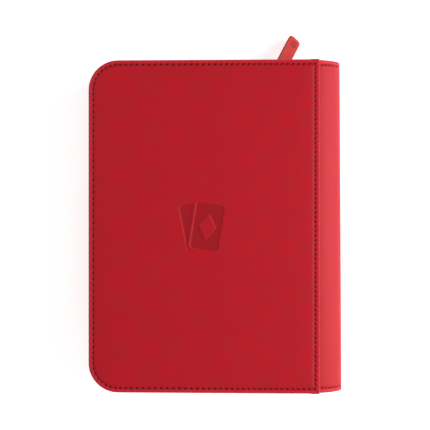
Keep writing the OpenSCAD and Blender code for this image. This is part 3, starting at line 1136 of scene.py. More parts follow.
    def build(self) -> None:
        """Makes the cover's pieces and joins them to their body."""
        word, body = self.side.value, f"{self.side.value}_cover"
        skin = make_piece(f"{word}_cover_skin", self.placed(self.skin()), self.palette.cover,
                          weld=0.002, sharp_deg=60)
        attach(skin, body)
        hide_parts(f"{word}_skin", f"{word}_padding")
        thread = make_piece(f"{word}_cover_thread", self.placed(self.threads()), self.palette.thread,
                            weld=0.0005, sharp_deg=180)
        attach(thread, body)
        lining = make_piece(f"{word}_cover_lining", self.placed(self.lining()), self.palette.lining,
                            weld=0.002)
        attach(lining, body)
        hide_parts(f"{word}_lining")
        frame["nodes"][f"{word}_board"].data.materials.clear()
        frame["nodes"][f"{word}_board"].data.materials.append(self.palette.board)


# ---------------------------------------------------------------- spine


@dataclass(frozen=True)
class Spine:
    """The flexible round spine: a red skin over a thin stiffener, and a black lining.

    It is one bent sheet, cut at the middle of each hinged strip into lengths that span one fold each.
    """

    layout: Layout
    palette: Palette
    strips: int = 5
    half_h: float = 117.0
    skin_t: float = 1.25
    lining_t: float = 0.7
    tuck: float = 4.7
    roll_r: float = 0.7
    groove: float = 0.38
    stitch_inset: float = 3.3
    stitches: int = 18
    flatten: float = 1.9
    taper: float = 0.0055

    @property
    def length(self) -> float:
        """The skin's length round the half circle."""
        return math.pi * self.layout.spine_r

    def place(self, run: np.ndarray, y: np.ndarray, sunk: np.ndarray) -> np.ndarray:
        """Points on the bent sheet.

        With a = run / radius - 90 degrees, a point is the axis + (radius - flat(a) -
        sunk) * (cos a, sin a), where flat is 1.9 mm * cos^0.7 a * (sqrt(sin^2 a +
        0.03) - 0.173) / 0.56: the sheet leaves each fold at an angle and is fullest at
        its middle, a little more so at the tail. Before 0 and past the length it goes on into the covers, and sinks.

        Args:
            run: distance round the outer face from the back fold.
            y: place along the spine.
            sunk: depth below the outer face.

        Returns:
            The points, with the arguments' shape and 3 more.
        """
        lay = self.layout
        inside = np.clip(run, 0, self.length)
        angle = inside / lay.spine_r - math.pi / 2
        beyond = np.abs(run - inside)
        flat = np.cos(angle).clip(0) ** 0.7 * (np.sqrt(np.sin(angle) ** 2 + 0.03) - 0.173) / 0.56
        fuller = -self.taper * y * np.cos(angle).clip(0) ** 2
        r = lay.spine_r + fuller - self.flatten * flat - sunk - 0.7 * smoothstep(0.2, 2.4, beyond)
        x = lay.fold_x + r * np.cos(angle) - beyond
        z = lay.mid_z + r * np.sin(angle)
        return np.stack(np.broadcast_arrays(x, y, z), axis=-1)

    def cuts(self) -> np.ndarray:
        """Where the sheet is cut: its tucked ends and the middle of each strip."""
        middle = (np.arange(self.strips) + 0.5) * self.length / self.strips
        return np.concatenate([[-self.tuck], middle, [self.length + self.tuck]])

    def section(self, outer: float, inner: float, groove: float) -> tuple:
        """The sheet's closed outline across its height: places along Y, and depths.

        Args:
            outer: depth of the outer face.
            inner: depth of the inner face.
            groove: depth of the sewn groove near each end.

        Returns:
            Places, depths without the groove, and the share of the groove, as arrays.
        """
        turn = np.linspace(0, math.pi, 9)[1:-1]
        r = (inner - outer) / 2
        end_y = self.half_h - r + r * np.sin(turn)
        end_z = (outer + inner) / 2 - r * np.cos(turn)
        from_end = np.array([0.6, 1.2, 1.7, 2.2, 2.6, 2.9, 3.1, 3.3, 3.5, 3.7, 4.0, 4.6, 5.8, 8.0, 20.0, 45.0, 80.0])
        flat = np.concatenate([self.half_h - from_end, -(self.half_h - from_end[::-1])])
        y = np.concatenate([end_y[::-1], flat, -end_y, flat[::-1]])
        depth = np.concatenate([end_z[::-1], np.full(len(flat), outer), end_z, np.full(len(flat), inner)])
        share = np.zeros(len(y))
        on_face = slice(len(end_y), len(end_y) + len(flat))
        past = self.half_h - np.abs(y[on_face]) - self.stitch_inset
        share[on_face] = np.exp(-(past / 0.5) ** 2)
        return y, depth, share * groove

    def sheet(self, low: float, high: float, outer: float, inner: float, groove: float, step: float = 0.5) -> Shape:
        """One length of the sheet between two cuts, closed all round."""
        y, depth, dip = self.section(outer, inner, groove)
        run = np.linspace(low, high, max(int((high - low) / step), 2) + 1)
        count = run / self.length * self.stitches
        pull = 0.8 + 0.2 * np.cos(2 * math.pi * count)
        wrap = np.concatenate([np.arange(len(y)), [0]])
        sunk = depth[None, wrap] + dip[None, wrap] * pull[:, None]
        points = self.place(run[:, None], y[None, wrap], sunk)
        girth = np.concatenate([[0.0], np.cumsum(np.hypot(np.diff(y[wrap]), np.diff(depth[wrap])))])
        over = np.broadcast_to(girth[None, :], points.shape[:2])
        cloth = np.stack([np.broadcast_to(run[:, None], over.shape), over], axis=-1)
        edge = self.half_h - np.abs(y[wrap])
        face = np.broadcast_to((depth[wrap] < (outer + inner) / 2)[None, :], over.shape)
        seam = np.stack([np.broadcast_to(count[:, None], over.shape), np.where(face, edge[None, :], 50.0)], axis=-1)
        side = grid(points, cloth, seam)
        n = len(y)
        ends = [Shape(points[row, :n], order, np.array([n]), cloth[row, order], np.full((n, 2), 50.0), np.zeros(n))
                for row, order in ((0, np.arange(n)), (-1, np.arange(n)[::-1]))]
        return outward(join([side, *ends]))

    def threads(self, low: float, high: float) -> Shape:
        """The stitches between two cuts, near both ends of the spine."""
        pitch = self.length / self.stitches
        middle = (np.arange(self.stitches) + 0.5) * pitch
        mine = middle[(middle >= low) & (middle < high)]
        t = np.linspace(0, 1, 7)
        run = mine[:, None] + pitch * 0.28 * (2 * t[None, :] - 1)
        arch = 0.2 * np.sqrt(np.sin(math.pi * t)) - 0.12
        sunk = self.groove * 0.8 - np.broadcast_to(arch, run.shape)
        shapes = []
        for sign in (-1, 1):
            y = np.full(run.shape, sign * (self.half_h - self.stitch_inset))
            centres = self.place(run, y, sunk)
            above = self.place(run, y, sunk - 1.0) - centres
            across = np.broadcast_to(np.array([0.0, 1.0, 0.0]), centres.shape)
            radii = 0.21 * np.sqrt(np.clip(1 - np.abs(2 * t - 1) ** 3.5, 0, 1))
            shapes.append(closed_tubes(centres, across, above, radii, sides=6))
        return join(shapes)

    def build(self) -> None:
        """Makes every length of the skin, its thread and the lining, each baked in its place."""
        cuts = self.cuts()
        inner_end = self.skin_t + self.lining_t
        for fold, (low, high) in enumerate(zip(cuts[:-1], cuts[1:])):
            bend_low, bend_high = max(low, 0.0), min(high, self.length)
            start, end = (self.place(np.array(run), np.array(0.0), np.array(0.0)) * MM for run in (bend_low, bend_high))
            skin = make_piece(f"spine_skin_length_{fold + 1}", self.sheet(low, high, 0.0, self.skin_t, self.groove),
                              self.palette.cover, weld=0.002, sharp_deg=50)
            lining = make_piece(f"spine_lining_length_{fold + 1}",
                                self.sheet(low, high, self.skin_t + 0.02, inner_end, 0.0, step=0.9),
                                self.palette.lining, weld=0.002, sharp_deg=50)
            thread = make_piece(f"spine_thread_length_{fold + 1}", self.threads(bend_low, bend_high),
                                self.palette.thread, weld=0.0005, sharp_deg=180)
            for piece in (skin, lining, thread):
                tuple(start)
                tuple(end)
                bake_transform(piece)
            if fold < self.strips:
                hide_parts(f"spine_skin_{fold + 1}", f"spine_stiffener_{fold + 1}")
                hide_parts(f"spine_lining_{fold + 1}")


# ---------------------------------------------------------------- zip


def run_lengths(line: np.ndarray) -> np.ndarray:
    """The distance run along a line of points, from its start."""
    return np.concatenate([[0.0], np.cumsum(np.linalg.norm(np.diff(line, axis=0), axis=1))])


def line_normals(line: np.ndarray) -> np.ndarray:
    """Unit vectors to the right of a flat line, which is outwards on an anticlockwise one."""
    direction = np.gradient(line, axis=0)
    direction /= np.linalg.norm(direction, axis=1, keepdims=True)
    return np.stack([direction[:, 1], -direction[:, 0]], axis=-1)


@dataclass(frozen=True)
class Zip:
    """The zip round three edges: two leaning tapes and two rows of nylon teeth that mesh."""

    layout: Layout
    outline: Outline
    palette: Palette
    tape_end: float = 76.0
    teeth_end: float = 60.0
    inset: float = 9.5
    seam_inset: float = 3.1
    tape_t: float = 0.8
    pitch: float = 1.5
    tooth_r: float = 0.34
    tooth_w: float = 1.12
    open_from: float = 55.5

    def line(self, inset: float, end_x: float, spacing: float = 1.2) -> np.ndarray:
        """The zip's path at an inset: head, head corner, fore-edge, tail corner, tail."""
        (points, _), _ = self.outline.seam_lines(inset)
        length = run_lengths(points)
        cut = self.layout.half_w - inset - end_x
        at = np.linspace(cut, length[-1] - cut, int((length[-1] - 2 * cut) / spacing) + 1)
        return np.stack([np.interp(at, length, points[:, axis]) for axis in (0, 1)], axis=-1)

    def tape(self) -> Shape:
        """The back cover's tape: a strip that leaves the seam and leans in to the teeth.

        With t from 0 at the seam to 1 at the teeth, its inset is seam + (teeth -
        seam) * t^1.25, and it ripples by sin(run / 3.1) * t(1 - t) near the corners.
        """
        line = self.line(0.0, self.tape_end)
        normal = line_normals(line)
        base, tip = self.layout.cover_t - 0.35, self.layout.mid_z - 2.25
        t = np.linspace(0, 1, 12)
        inset = self.seam_inset + 0.4 + (self.inset - self.seam_inset - 0.4) * t ** 1.25
        z = base + (tip - base) * t
        slope = np.stack([-np.gradient(inset), np.gradient(z)], axis=-1)
        slope /= np.linalg.norm(slope, axis=1, keepdims=True)
        side = np.stack([slope[:, 1], -slope[:, 0]], axis=-1) * self.tape_t / 2
        middle = np.stack([-inset, z], axis=-1)
        tip_cap = middle[-1] + slope[-1] * 0.25
        profile = np.vstack([middle + side, tip_cap[None], (middle - side)[::-1]])
        share = np.concatenate([t, [1.0], t[::-1]])
        run = run_lengths(line)
        bend = 1 - np.clip(np.abs(np.hypot(*(np.abs(line) - self.outline.core).T) - 21) / 12, 0, 1)
        ripple = 0.28 * np.sin(run / 1.9) * bend + 0.10 * np.sin(run / 7.0)
        closed = np.vstack([profile, profile[:1]])
        swell = np.concatenate([share, share[:1]])
        push = closed[None, :, 0] + ripple[:, None] * (4 * swell * (1 - swell))[None, :]
        flat = line[:, None, :] + push[..., None] * normal[:, None, :]
        points = np.concatenate([flat, np.broadcast_to(closed[None, :, 1:], flat.shape[:2] + (1,))], axis=-1)
        girth = run_lengths(closed)
        cloth = np.stack(np.broadcast_arrays(run[:, None], girth[None, :]), axis=-1)
        n = len(profile)
        ends = [Shape(points[row, :n], order, np.array([n]), cloth[row, order], np.full((n, 2), 50.0), np.zeros(n))
                for row, order in ((0, np.arange(n)), (-1, np.arange(n)[::-1]))]
        return outward(join([grid(points, cloth), *ends]))

    def teeth(self, phase: float) -> Shape:
        """The back row of teeth: flat loops side by side, with wider heads that reach past the middle.

        Args:
            phase: 0 or 0.5 of a pitch, so that the two rows mesh.
        """
        line = self.line(self.inset, self.teeth_end, 0.5)
        run = run_lengths(line)
        count = int(run[-1] / self.pitch) - 1
        at = (np.arange(count) + 0.5 + phase) * self.pitch
        place = np.stack([np.interp(at, run, line[:, axis]) for axis in (0, 1)], axis=-1)
        normal = line_normals(line)
        out = np.stack([np.interp(at, run, normal[:, axis]) for axis in (0, 1)], axis=-1)
        out /= np.linalg.norm(out, axis=1, keepdims=True)
        meshed = ~((place[:, 1] > 0) & (place[:, 0] > self.open_from))
        foot = self.layout.mid_z - 2.75
        head = self.layout.mid_z + np.where(meshed, 0.42, -0.75)
        share = np.array([0.0, 0.0, 0.12, 0.45, 0.7, 0.86, 0.97, 1.0])
        width = np.array([0.0, 0.8, 1.0, 0.92, 0.95, 1.12, 0.75, 0.0])
        z = foot + (head - foot)[:, None] * share[None, :]
        centres = np.concatenate([np.broadcast_to(place[:, None, :], z.shape + (2,)), z[..., None]], axis=-1)
        along = np.stack([-out[:, 1], out[:, 0], np.zeros(count)], axis=-1)
        outside = np.concatenate([out, np.zeros((count, 1))], axis=-1)
        axes = [np.broadcast_to(v[:, None, :], centres.shape) for v in (along, outside)]
        return outward(closed_tubes(centres, axes[0], axes[1], self.tooth_r * width, sides=8,
                                    flatten=self.tooth_w / self.tooth_r))

    def seam_cords(self) -> Shape:
        """The two rows of sewing that hold the teeth to the back cover's tape, outside and inside."""
        shapes = []
        for inset in (self.inset - 0.62, self.inset + 0.62):
            for level in (-2.2, -1.55):
                line = self.line(inset + 0.28 * np.sign(inset - self.inset), self.teeth_end + 2.0, 1.5)
                z = self.layout.mid_z + level
                centres = np.concatenate([line, np.full((len(line), 1), z)], axis=-1)[None]
                normal = line_normals(line)
                across = np.concatenate([normal, np.zeros((len(line), 1))], axis=-1)[None]
                up = np.broadcast_to(np.array([0.0, 0.0, 1.0]), centres.shape)
                radii = np.full(len(line), 0.16)
                radii[[0, -1]] = 0.0
                shapes.append(closed_tubes(centres, across, up, radii, sides=6))
        return join(shapes)

    def placed(self, side: Side, shape: Shape) -> Shape:
        """The back's shape as it is, or mirrored for the front.

        Args:
            side: the cover that the shape belongs to.
            shape: the shape as it lies on the back cover.

        Returns:
            The shape in its place.
        """
        if side is Side.BACK:
            return shape
        return shape.mapped(lambda p: p * [1, 1, -1] + [0, 0, self.layout.thick], turn_over=True)

    def build(self) -> None:
        """Makes both tapes with their teeth, one set for each cover."""
        run = run_lengths(self.line(6.0, self.tape_end))[-1]
        for side, phase in ((Side.BACK, 0.0), (Side.FRONT, 0.5)):
            word, body = side.value, f"{side.value}_cover"
            tape = make_piece(f"{word}_zip_tape_weave", self.placed(side, self.tape()), self.palette.zip_tape,
                              weld=0.002, sharp_deg=50)
            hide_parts(f"{word}_zip_tape")
            teeth = make_piece(f"{word}_zip_teeth", self.placed(side, self.teeth(phase)), self.palette.teeth,
                               weld=0.0005, sharp_deg=70)
            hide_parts(f"{word}_zip_coil")
            cords = make_piece(f"{word}_zip_sewing", self.placed(side, self.seam_cords()), self.palette.thread,
                               weld=0.0005, sharp_deg=180)
            for piece in (tape, teeth, cords):
                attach(piece, body)
            stops = frame["nodes"][f"{word}_zip_stops"].data.materials
            stops.clear()
            stops.append(self.palette.plated)


def slab(outline: np.ndarray, thick: float, rounding: float, steps: int = 4) -> Shape:
    """A flat plate with rounded rims, lying between z = -thick/2 and thick/2.

    The rim is a quarter circle at each face: inset r(1 - cos a), height
    thick/2 - r + r sin a, for a from 90 degrees to 0, on the outline drawn in
    along its normals.

    Args:
        outline: anticlockwise points, without a repeat.
        thick: the plate's thickness.
        rounding: the rim's radius.
        steps: pieces in each quarter.

    Returns:
        The closed plate.
    """
    edge = np.roll(outline, -1, axis=0) - np.roll(outline, 1, axis=0)
    edge /= np.linalg.norm(edge, axis=1, keepdims=True)
    inward = np.stack([-edge[:, 1], edge[:, 0]], axis=-1)
    a = np.linspace(math.pi / 2, 0, steps + 1)
    inset = rounding * (1 - np.cos(a))
    level = thick / 2 - rounding + rounding * np.sin(a)
    inset = np.concatenate([inset, inset[::-1]])
    level = np.concatenate([level, -level[::-1]])
    ring = outline[None] + inset[:, None, None] * inward[None]
    points = np.concatenate([ring, np.broadcast_to(level[:, None, None], ring.shape[:2] + (1,))], axis=-1)
    wrapped = np.concatenate([points, points[:, :1]], axis=1)
    return outward(join([grid(wrapped, wrapped[..., :2]), lid(points[0], True), lid(points[-1], False)]))


@dataclass(frozen=True)
class Slider:
    """The zip's slider: two shaped plates, a post between them and an arched bridge."""

    palette: Palette
    centre: tuple
    teeth_y: float
    length: float = 11.0
    nose_w: float = 8.0
    tail_w: float = 6.4
    plate_t: float = 1.3
    clear: float = 1.6

    def plate(self, y: float) -> Shape:
        """One plate, wide at the nose and narrow at the tail, standing at a place along Y."""
        half = self.length / 2
        corners = [[-half, -self.tail_w / 2], [0, -self.tail_w / 2], [half - 2.6, -self.nose_w / 2],
                   [half, -self.nose_w / 2], [half, self.nose_w / 2], [half - 2.6, self.nose_w / 2],
                   [0, self.tail_w / 2], [-half, self.tail_w / 2]]
        flat = slab(rounded_profile(corners, [1.9, 0.8, 1.0, 1.2, 1.2, 1.0, 0.8, 1.9], 5), self.plate_t, 0.42)
        x0, _, z0 = self.centre
        return outward(flat.mapped(lambda p: np.stack([p[:, 0] + x0, y - p[:, 2], p[:, 1] + z0], axis=-1)))

    def arch(self) -> Shape:
        """The bridge: a flat bar whose middle line is (3.8 cos^0.55 a, 2.3 sin^0.5 a) over the plate."""
        x0, _, z0 = self.centre
        foot = self.teeth_y + self.clear + self.plate_t - 0.25
        a = np.linspace(0, math.pi, 25)
        x = x0 + 3.8 * np.sign(np.cos(a)) * np.abs(np.cos(a)) ** 0.55
        y = foot + 2.3 * np.sqrt(np.clip(np.sin(a), 0, 1))
        centres = np.stack([x, y, np.full(25, z0)], axis=-1)
        along = np.gradient(centres, axis=0)
        along /= np.linalg.norm(along, axis=1, keepdims=True)
        up = np.cross(np.array([0.0, 0.0, 1.0]), along)
        across = np.broadcast_to(np.array([0.0, 0.0, 1.0]), centres.shape)
        radii = np.full(25, 0.68)
        radii[[0, -1]] = 0.0
        return outward(closed_tubes(centres[None], across[None], up[None], radii, sides=12, flatten=0.75))

    def post(self) -> Shape:
        """The thin wedge between the rows, which joins the two plates."""
        x0, _, z0 = self.centre
        wedge = rounded_profile([[2.6, 0.0], [4.6, -0.45], [5.2, -0.45], [5.2, 0.45], [4.6, 0.45]],
                                [0.2, 0.15, 0.15, 0.15, 0.15], 2)
        flat = slab(wedge, 2 * self.clear + 0.4, 0.05, 1)
        return outward(flat.mapped(lambda p: np.stack([p[:, 0] + x0, self.teeth_y + p[:, 2], p[:, 1] + z0], axis=-1)))

    def build(self) -> None:
        """Makes the slider and joins it to its body."""
        offset = self.clear + self.plate_t / 2
        parts = [self.plate(self.teeth_y + offset), self.plate(self.teeth_y - offset), self.arch(), self.post()]
        piece = make_piece("zip_slider_body", join(parts), self.palette.slider, weld=0.001)
        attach(piece, "slider")
        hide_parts("zip_slider")


@dataclass(frozen=True)
class Pull:
    """The pull: a wire ring through the bridge, and a soft tab that droops from it."""

    palette: Palette
    pivot: tuple
    heading_deg: float = 26.0
    droop_deg: float = 35.0
    twist_deg: float = 24.0
    ring_r: float = 3.6
    wire_r: float = 0.55
    tab_l: float = 25.5
    tab_w: float = 10.0
    tab_t: float = 2.4
    behind: float = 3.1
    eye_t: float = 2.0
    collar_t: float = 2.7
    eye_r: float = 2.4
    eye_hole_r: float = 0.9

    @property
    def heading(self) -> np.ndarray:
        """The level direction in which the pull points."""
        a = math.radians(self.heading_deg)
        return np.array([math.sin(a), math.cos(a), 0.0])

    def ring(self) -> Shape:
        """The ring: centre + (R + r cos b)(cos a * heading + sin a * Z) + r sin b * side."""
        a, b = np.linspace(0, 2 * math.pi, 49)[:, None], np.linspace(0, 2 * math.pi, 13)[None, :]
        up = np.array([0.0, 0.0, 1.0])
        side = np.cross(self.heading, up)
        spoke = np.cos(a)[..., None] * self.heading + np.sin(a)[..., None] * up
        centre = np.array(self.pivot) + self.ring_r * self.heading
        points = centre + (self.ring_r + self.wire_r * np.cos(b))[..., None] * spoke + (
            self.wire_r * np.sin(b))[..., None] * side
        return outward(grid(points, np.stack(np.broadcast_arrays(a * 4, b), axis=-1)))

    def tab_place(self, points: np.ndarray) -> np.ndarray:
        """Carries points from the tab's own frame, X to the tip and Z up, to where it hangs."""
        twist, droop, turn = (math.radians(v) for v in (self.twist_deg, self.droop_deg, 90 - self.heading_deg))
        about_x = np.array([[1, 0, 0], [0, math.cos(twist), -math.sin(twist)], [0, math.sin(twist), math.cos(twist)]])
        about_y = np.array([[math.cos(droop), 0, math.sin(droop)], [0, 1, 0], [-math.sin(droop), 0, math.cos(droop)]])
        about_z = np.array([[math.cos(turn), -math.sin(turn), 0], [math.sin(turn), math.cos(turn), 0], [0, 0, 1]])
        eye = np.array(self.pivot) + 2 * self.ring_r * self.heading
        return points @ (about_z @ about_y @ about_x).T + eye

    def tab_body(self) -> Shape:
        """The tab: a soft strip with flat faces, round rims, and grip grooves near its tip.

        At a place x the section is (c + w sgn(cos a)|cos a|^0.35, t sgn(sin a)|sin a|^0.4).
        The strip is full width on its far side, and on the side by the slider it
        narrows to the hole. w closes over the tip by the quarter circles of its corners.
        """
        back, tip_r = -self.behind, 2.6
        x = np.concatenate([back + 1.5 * (1 - np.cos(np.linspace(0.15, math.pi / 2, 7))),
                            np.linspace(back + 2.0, self.tab_l - 12.4, 26), np.linspace(13.4, self.tab_l - 3.2, 50),
                            self.tab_l - 2.9 * (1 - np.sin(np.linspace(0.05, math.pi / 2, 12)))])
        past = np.clip((x - (self.tab_l - tip_r)) / tip_r, 0, 1)
        closing = tip_r * (1 - np.sqrt(np.clip(1 - past ** 2, 0, 1)))
        start = np.clip(1 - (x - back) / 1.5, 0, 1)
        far = self.tab_w / 2 - closing - 1.5 * (1 - np.sqrt(np.clip(1 - start ** 2, 0, 1)))
        by_slider = 0.6 + 2.7 * smoothstep(back, -0.8, x) + (self.tab_w / 2 - 3.3) * smoothstep(0.2, 3.6, x) - closing
        half_w, middle = (far + by_slider) / 2, (far - by_slider) / 2
        half_t = (self.eye_t / 2 + (self.tab_t - self.eye_t) / 2 * smoothstep(1.0, 4.0, x))
        half_t = half_t * np.clip(1 - past ** 4 * 0.45, 0, 1)
        a = np.linspace(0, 2 * math.pi, 81)
        flat = np.sign(np.cos(a)) * np.abs(np.cos(a)) ** 0.35
        tall = np.sign(np.sin(a)) * np.abs(np.sin(a)) ** 0.4
        y = middle[:, None] + half_w[:, None] * flat[None, :]
        z = half_t[:, None] * tall[None, :]
        grooves = np.zeros_like(x)
        for row in range(3):
            grooves += np.exp(-((x - (self.tab_l - 4.2 - 2.1 * row)) / 0.5) ** 4)
        cut = grooves[:, None] * (1 - smoothstep(2.3, 2.9, np.abs(y - middle[:, None])))
        z = z - np.sign(z) * 0.4 * cut
        # The side faces, the end faces and the grip grooves are marked pressed, which the pull's finish paints as
        # shade.
        side = np.broadcast_to(smoothstep(0.93, 0.99, np.abs(flat))[None, :], y.shape)
        points = np.stack([np.broadcast_to(x[:, None], y.shape), y, z], axis=-1)
        n = len(a) - 1
        ends = [Shape(points[row, :n], order, np.array([n]), points[row, order, :2], np.full((n, 2), 50.0), np.ones(n))
                for row, order in ((0, np.arange(n)), (-1, np.arange(n)[::-1]))]
        return outward(join([grid(points, points[..., :2], pressed=np.maximum(side, cut)), *ends]))

    def eye(self) -> Shape:
        """The moulded collar round the tab's hole: a flat ring with rounded rims."""
        r = 0.3
        profile = rounded_profile([[self.eye_hole_r, -self.collar_t / 2], [self.eye_r, -self.collar_t / 2],
                                   [self.eye_r, self.collar_t / 2], [self.eye_hole_r, self.collar_t / 2]], [r] * 4, 3)
        closed = np.vstack([profile, profile[:1]])
        a = np.linspace(0, 2 * math.pi, 41)
        points = np.stack([closed[None, :, 0] * np.cos(a)[:, None], closed[None, :, 0] * np.sin(a)[:, None],
                           np.broadcast_to(closed[None, :, 1], (41, len(closed)))], axis=-1)
        return outward(grid(points, points[..., :2]))

    def build(self) -> None:
        """Makes the ring and the tab, each on its own body."""
        ring = make_piece("pull_wire_ring", self.ring(), self.palette.plated, weld=0.001)
        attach(ring, "ring")
        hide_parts("pull_ring")
        shape = join([self.tab_body(), self.eye()]).mapped(self.tab_place)
        tab = make_piece("pull_rubber_tab", shape, self.palette.pull, weld=0.001, sharp_deg=55)
        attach(tab, "tab")
        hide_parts("pull_tab")


# ---------------------------------------------------------------- leaves


def boxes(low: np.ndarray, high: np.ndarray) -> Shape:
    """Many plain boxes at once, for flat film and weld lines too thin to show an edge.

    Args:
        low: lowest corners, boxes by 3.
        high: highest corners, boxes by 3.

    Returns:
        All the boxes.
    """
    pick = np.array([[0, 0, 0], [1, 0, 0], [1, 1, 0], [0, 1, 0], [0, 0, 1], [1, 0, 1], [1, 1, 1], [0, 1, 1]])
    quads = np.array([[0, 3, 2, 1], [4, 5, 6, 7], [0, 1, 5, 4], [1, 2, 6, 5], [2, 3, 7, 6], [3, 0, 4, 7]])
    points = np.where(pick[None] == 1, high[:, None, :], low[:, None, :])
    corners = (quads[None] + 8 * np.arange(len(low))[:, None, None]).reshape(-1)
    flat = points.reshape(-1, 3)
    return Shape(flat, corners, np.full(6 * len(low), 4), flat[corners, :2], np.full((len(corners), 2), 50.0),
                 np.zeros(len(flat)))


@dataclass(frozen=True)
class Leaf:
    """One pocket leaf: a black core with rows close together at its crease, clear films and their welds."""

    number: int
    layout: Layout
    palette: Palette
    crease: float
    level: float
    bound_x: float
    free_x: float = -68.0
    half_h: float = 100.0
    core_t: float = 0.21
    film_t: float = 0.115
    pocket: tuple = (71.0, 95.0)
    weld: float = 3.0
    corner_r: float = 3.5

    def core(self) -> Shape:
        """The core from its free edge to the binding, closed all round.

        Its half height is 100, less r - sqrt(r^2 - (r - s)^2) within r of the free
        edge, with s the distance from that edge.
        """
        corner = self.free_x + self.corner_r * (1 - np.cos(np.linspace(0, math.pi / 2, 8)))
        x = np.concatenate([corner, np.linspace(self.free_x + 8, self.crease - 1.6, 12),
                            self.crease + np.linspace(-1.2, 1.2, 13), [self.bound_x]])
        s = np.clip(x - self.free_x, 0, self.corner_r)
        half = self.half_h - (self.corner_r - np.sqrt(self.corner_r ** 2 - (self.corner_r - s) ** 2))
        share = np.linspace(-1, 1, 9)
        loop_y = np.concatenate([share, share[::-1]])
        loop_z = np.concatenate([np.full(9, 1.0), np.full(9, -1.0)]) * self.core_t / 2
        wrap = np.concatenate([np.arange(18), [0]])
        y = half[:, None] * loop_y[None, wrap]
        points = np.stack([np.broadcast_to(x[:, None], y.shape), y,
                           np.broadcast_to(self.level + loop_z[None, wrap], y.shape)], axis=-1)
        ends = [Shape(points[row, :18], order, np.array([18]), points[row, order, :2], np.full((18, 2), 50.0),
                      np.zeros(18)) for row, order in ((0, np.arange(18)), (-1, np.arange(18)[::-1]))]
        return outward(join([grid(points, points[..., :2]), *ends]))

    def pocket_corners(self) -> tuple:
        """Lowest X and Y of the four pockets, as two arrays."""
        w, h = self.pocket
        x = self.free_x + self.weld + np.array([0, 1, 0, 1]) * (w + self.weld)
        y = np.array([-1, -1, 1, 1]) * (h + self.weld) / 2 - h / 2
        return x, y

    def films(self) -> Shape:
        """Four clear pocket films on each face."""
        x, y = self.pocket_corners()
        w, h = self.pocket
        half = self.core_t / 2
        shapes = []
        for low_z, high_z in ((half + 0.004, half + self.film_t), (-half - self.film_t, -half - 0.004)):
            low = np.stack([x, y, np.full(4, self.level + low_z)], axis=-1)
            high = np.stack([x + w, y + h, np.full(4, self.level + high_z)], axis=-1)
            shapes.append(boxes(low, high))
        return join(shapes)

    def welds(self) -> Shape:
        """Pressed weld lines between and around the pockets, in a row of short bars."""
        w, h = self.pocket
        end_x = self.free_x + 3 * self.weld + 2 * w
        xs = self.free_x + self.weld / 2 + np.array([1, 2]) * (w + self.weld)
        ys = np.array([-1, 0, 1]) * (h + self.weld)
        half = self.core_t / 2
        bar = 0.9
        rows = []
        for x in xs:
            rows.append([x - bar / 2, -h - self.weld * 1.2, x + bar / 2, h + self.weld * 1.2])
        for y in ys:
            rows.append([self.free_x + 1.0, y - bar / 2, end_x, y + bar / 2])
        flat = np.array(rows)
        shapes = []
        for low_z, high_z in ((half, half + 0.06), (-half - 0.06, -half)):
            low = np.stack([flat[:, 0], flat[:, 1], np.full(len(flat), self.level + low_z)], axis=-1)
            high = np.stack([flat[:, 2], flat[:, 3], np.full(len(flat), self.level + high_z)], axis=-1)
            shapes.append(boxes(low, high))
        return join(shapes)

    def build(self) -> None:
        """Makes the leaf's core, and its films and welds on the leaf's body."""
        word = f"leaf_{self.number:02d}"
        core = make_piece(f"{word}_core", self.core(), self.palette.core, weld=0.001)
        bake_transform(core)
        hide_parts(word)
        clear, pressed = self.palette.film, self.palette.weld
        for kind, shape, finish in (("film", self.films(), clear), ("weld", self.welds(), pressed)):
            piece = make_piece(f"{word}_{kind}", shape, finish)
            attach(piece, word)


@dataclass(frozen=True)
class Binding:
    """The bound edge: every leaf's stub in a cloth-covered channel on the spine."""

    layout: Layout
    palette: Palette
    leaves: int = 20
    pitch: float = 0.5
    half_h: float = 100.0

    def channel(self) -> Shape:
        """The channel: a U section carried along the spine's height."""
        low, high = (np.array(c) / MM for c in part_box("binding_channel"))
        mid, wall = self.layout.mid_z, 0.9
        back = high[0] - 1.35
        outer, inner = high[2] - mid, high[2] - mid - wall
        corners = [[low[0], -outer], [back, -outer], [back + 0.1, -4.2], [high[0], -4.0], [high[0], 4.0],
                   [back + 0.1, 4.2], [back, outer], [low[0], outer], [low[0], inner], [back - wall, inner],
                   [back - wall, -inner], [low[0], -inner]]
        profile = rounded_profile(corners, [0.4, 0.7, 0.15, 0.4, 0.4, 0.15, 0.7, 0.4, 0.35, 0.1, 0.1, 0.35], 4)
        y = np.linspace(-self.half_h, self.half_h, 9)
        path = np.stack([np.zeros(9), y, np.full(9, mid)], axis=-1)
        outward_x = np.broadcast_to(np.array([1.0, 0.0, 0.0]), path.shape)
        return outward(swept(profile, path, outward_x, y))

    def build(self) -> None:
        """Makes the channel, then every leaf."""
        channel = make_piece("binding_tape", self.channel(), self.palette.binding, weld=0.001)
        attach(channel, "spine_strip_3")
        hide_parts("binding_channel", "leaf_stubs")
        creases = {j["name"]: np.array(j["pos_m"]) / MM for j in frame["joints"] if j["name"].startswith("leaf_crease")}
        bound = float(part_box("leaf_stubs")[1][0]) / MM
        for number in range(1, self.leaves + 1):
            at = creases[f"leaf_crease_{number:02d}"]
            Leaf(number, self.layout, self.palette, crease=float(at[0]), level=float(at[2]), bound_x=bound).build()


# ---------------------------------------------------------------- studio


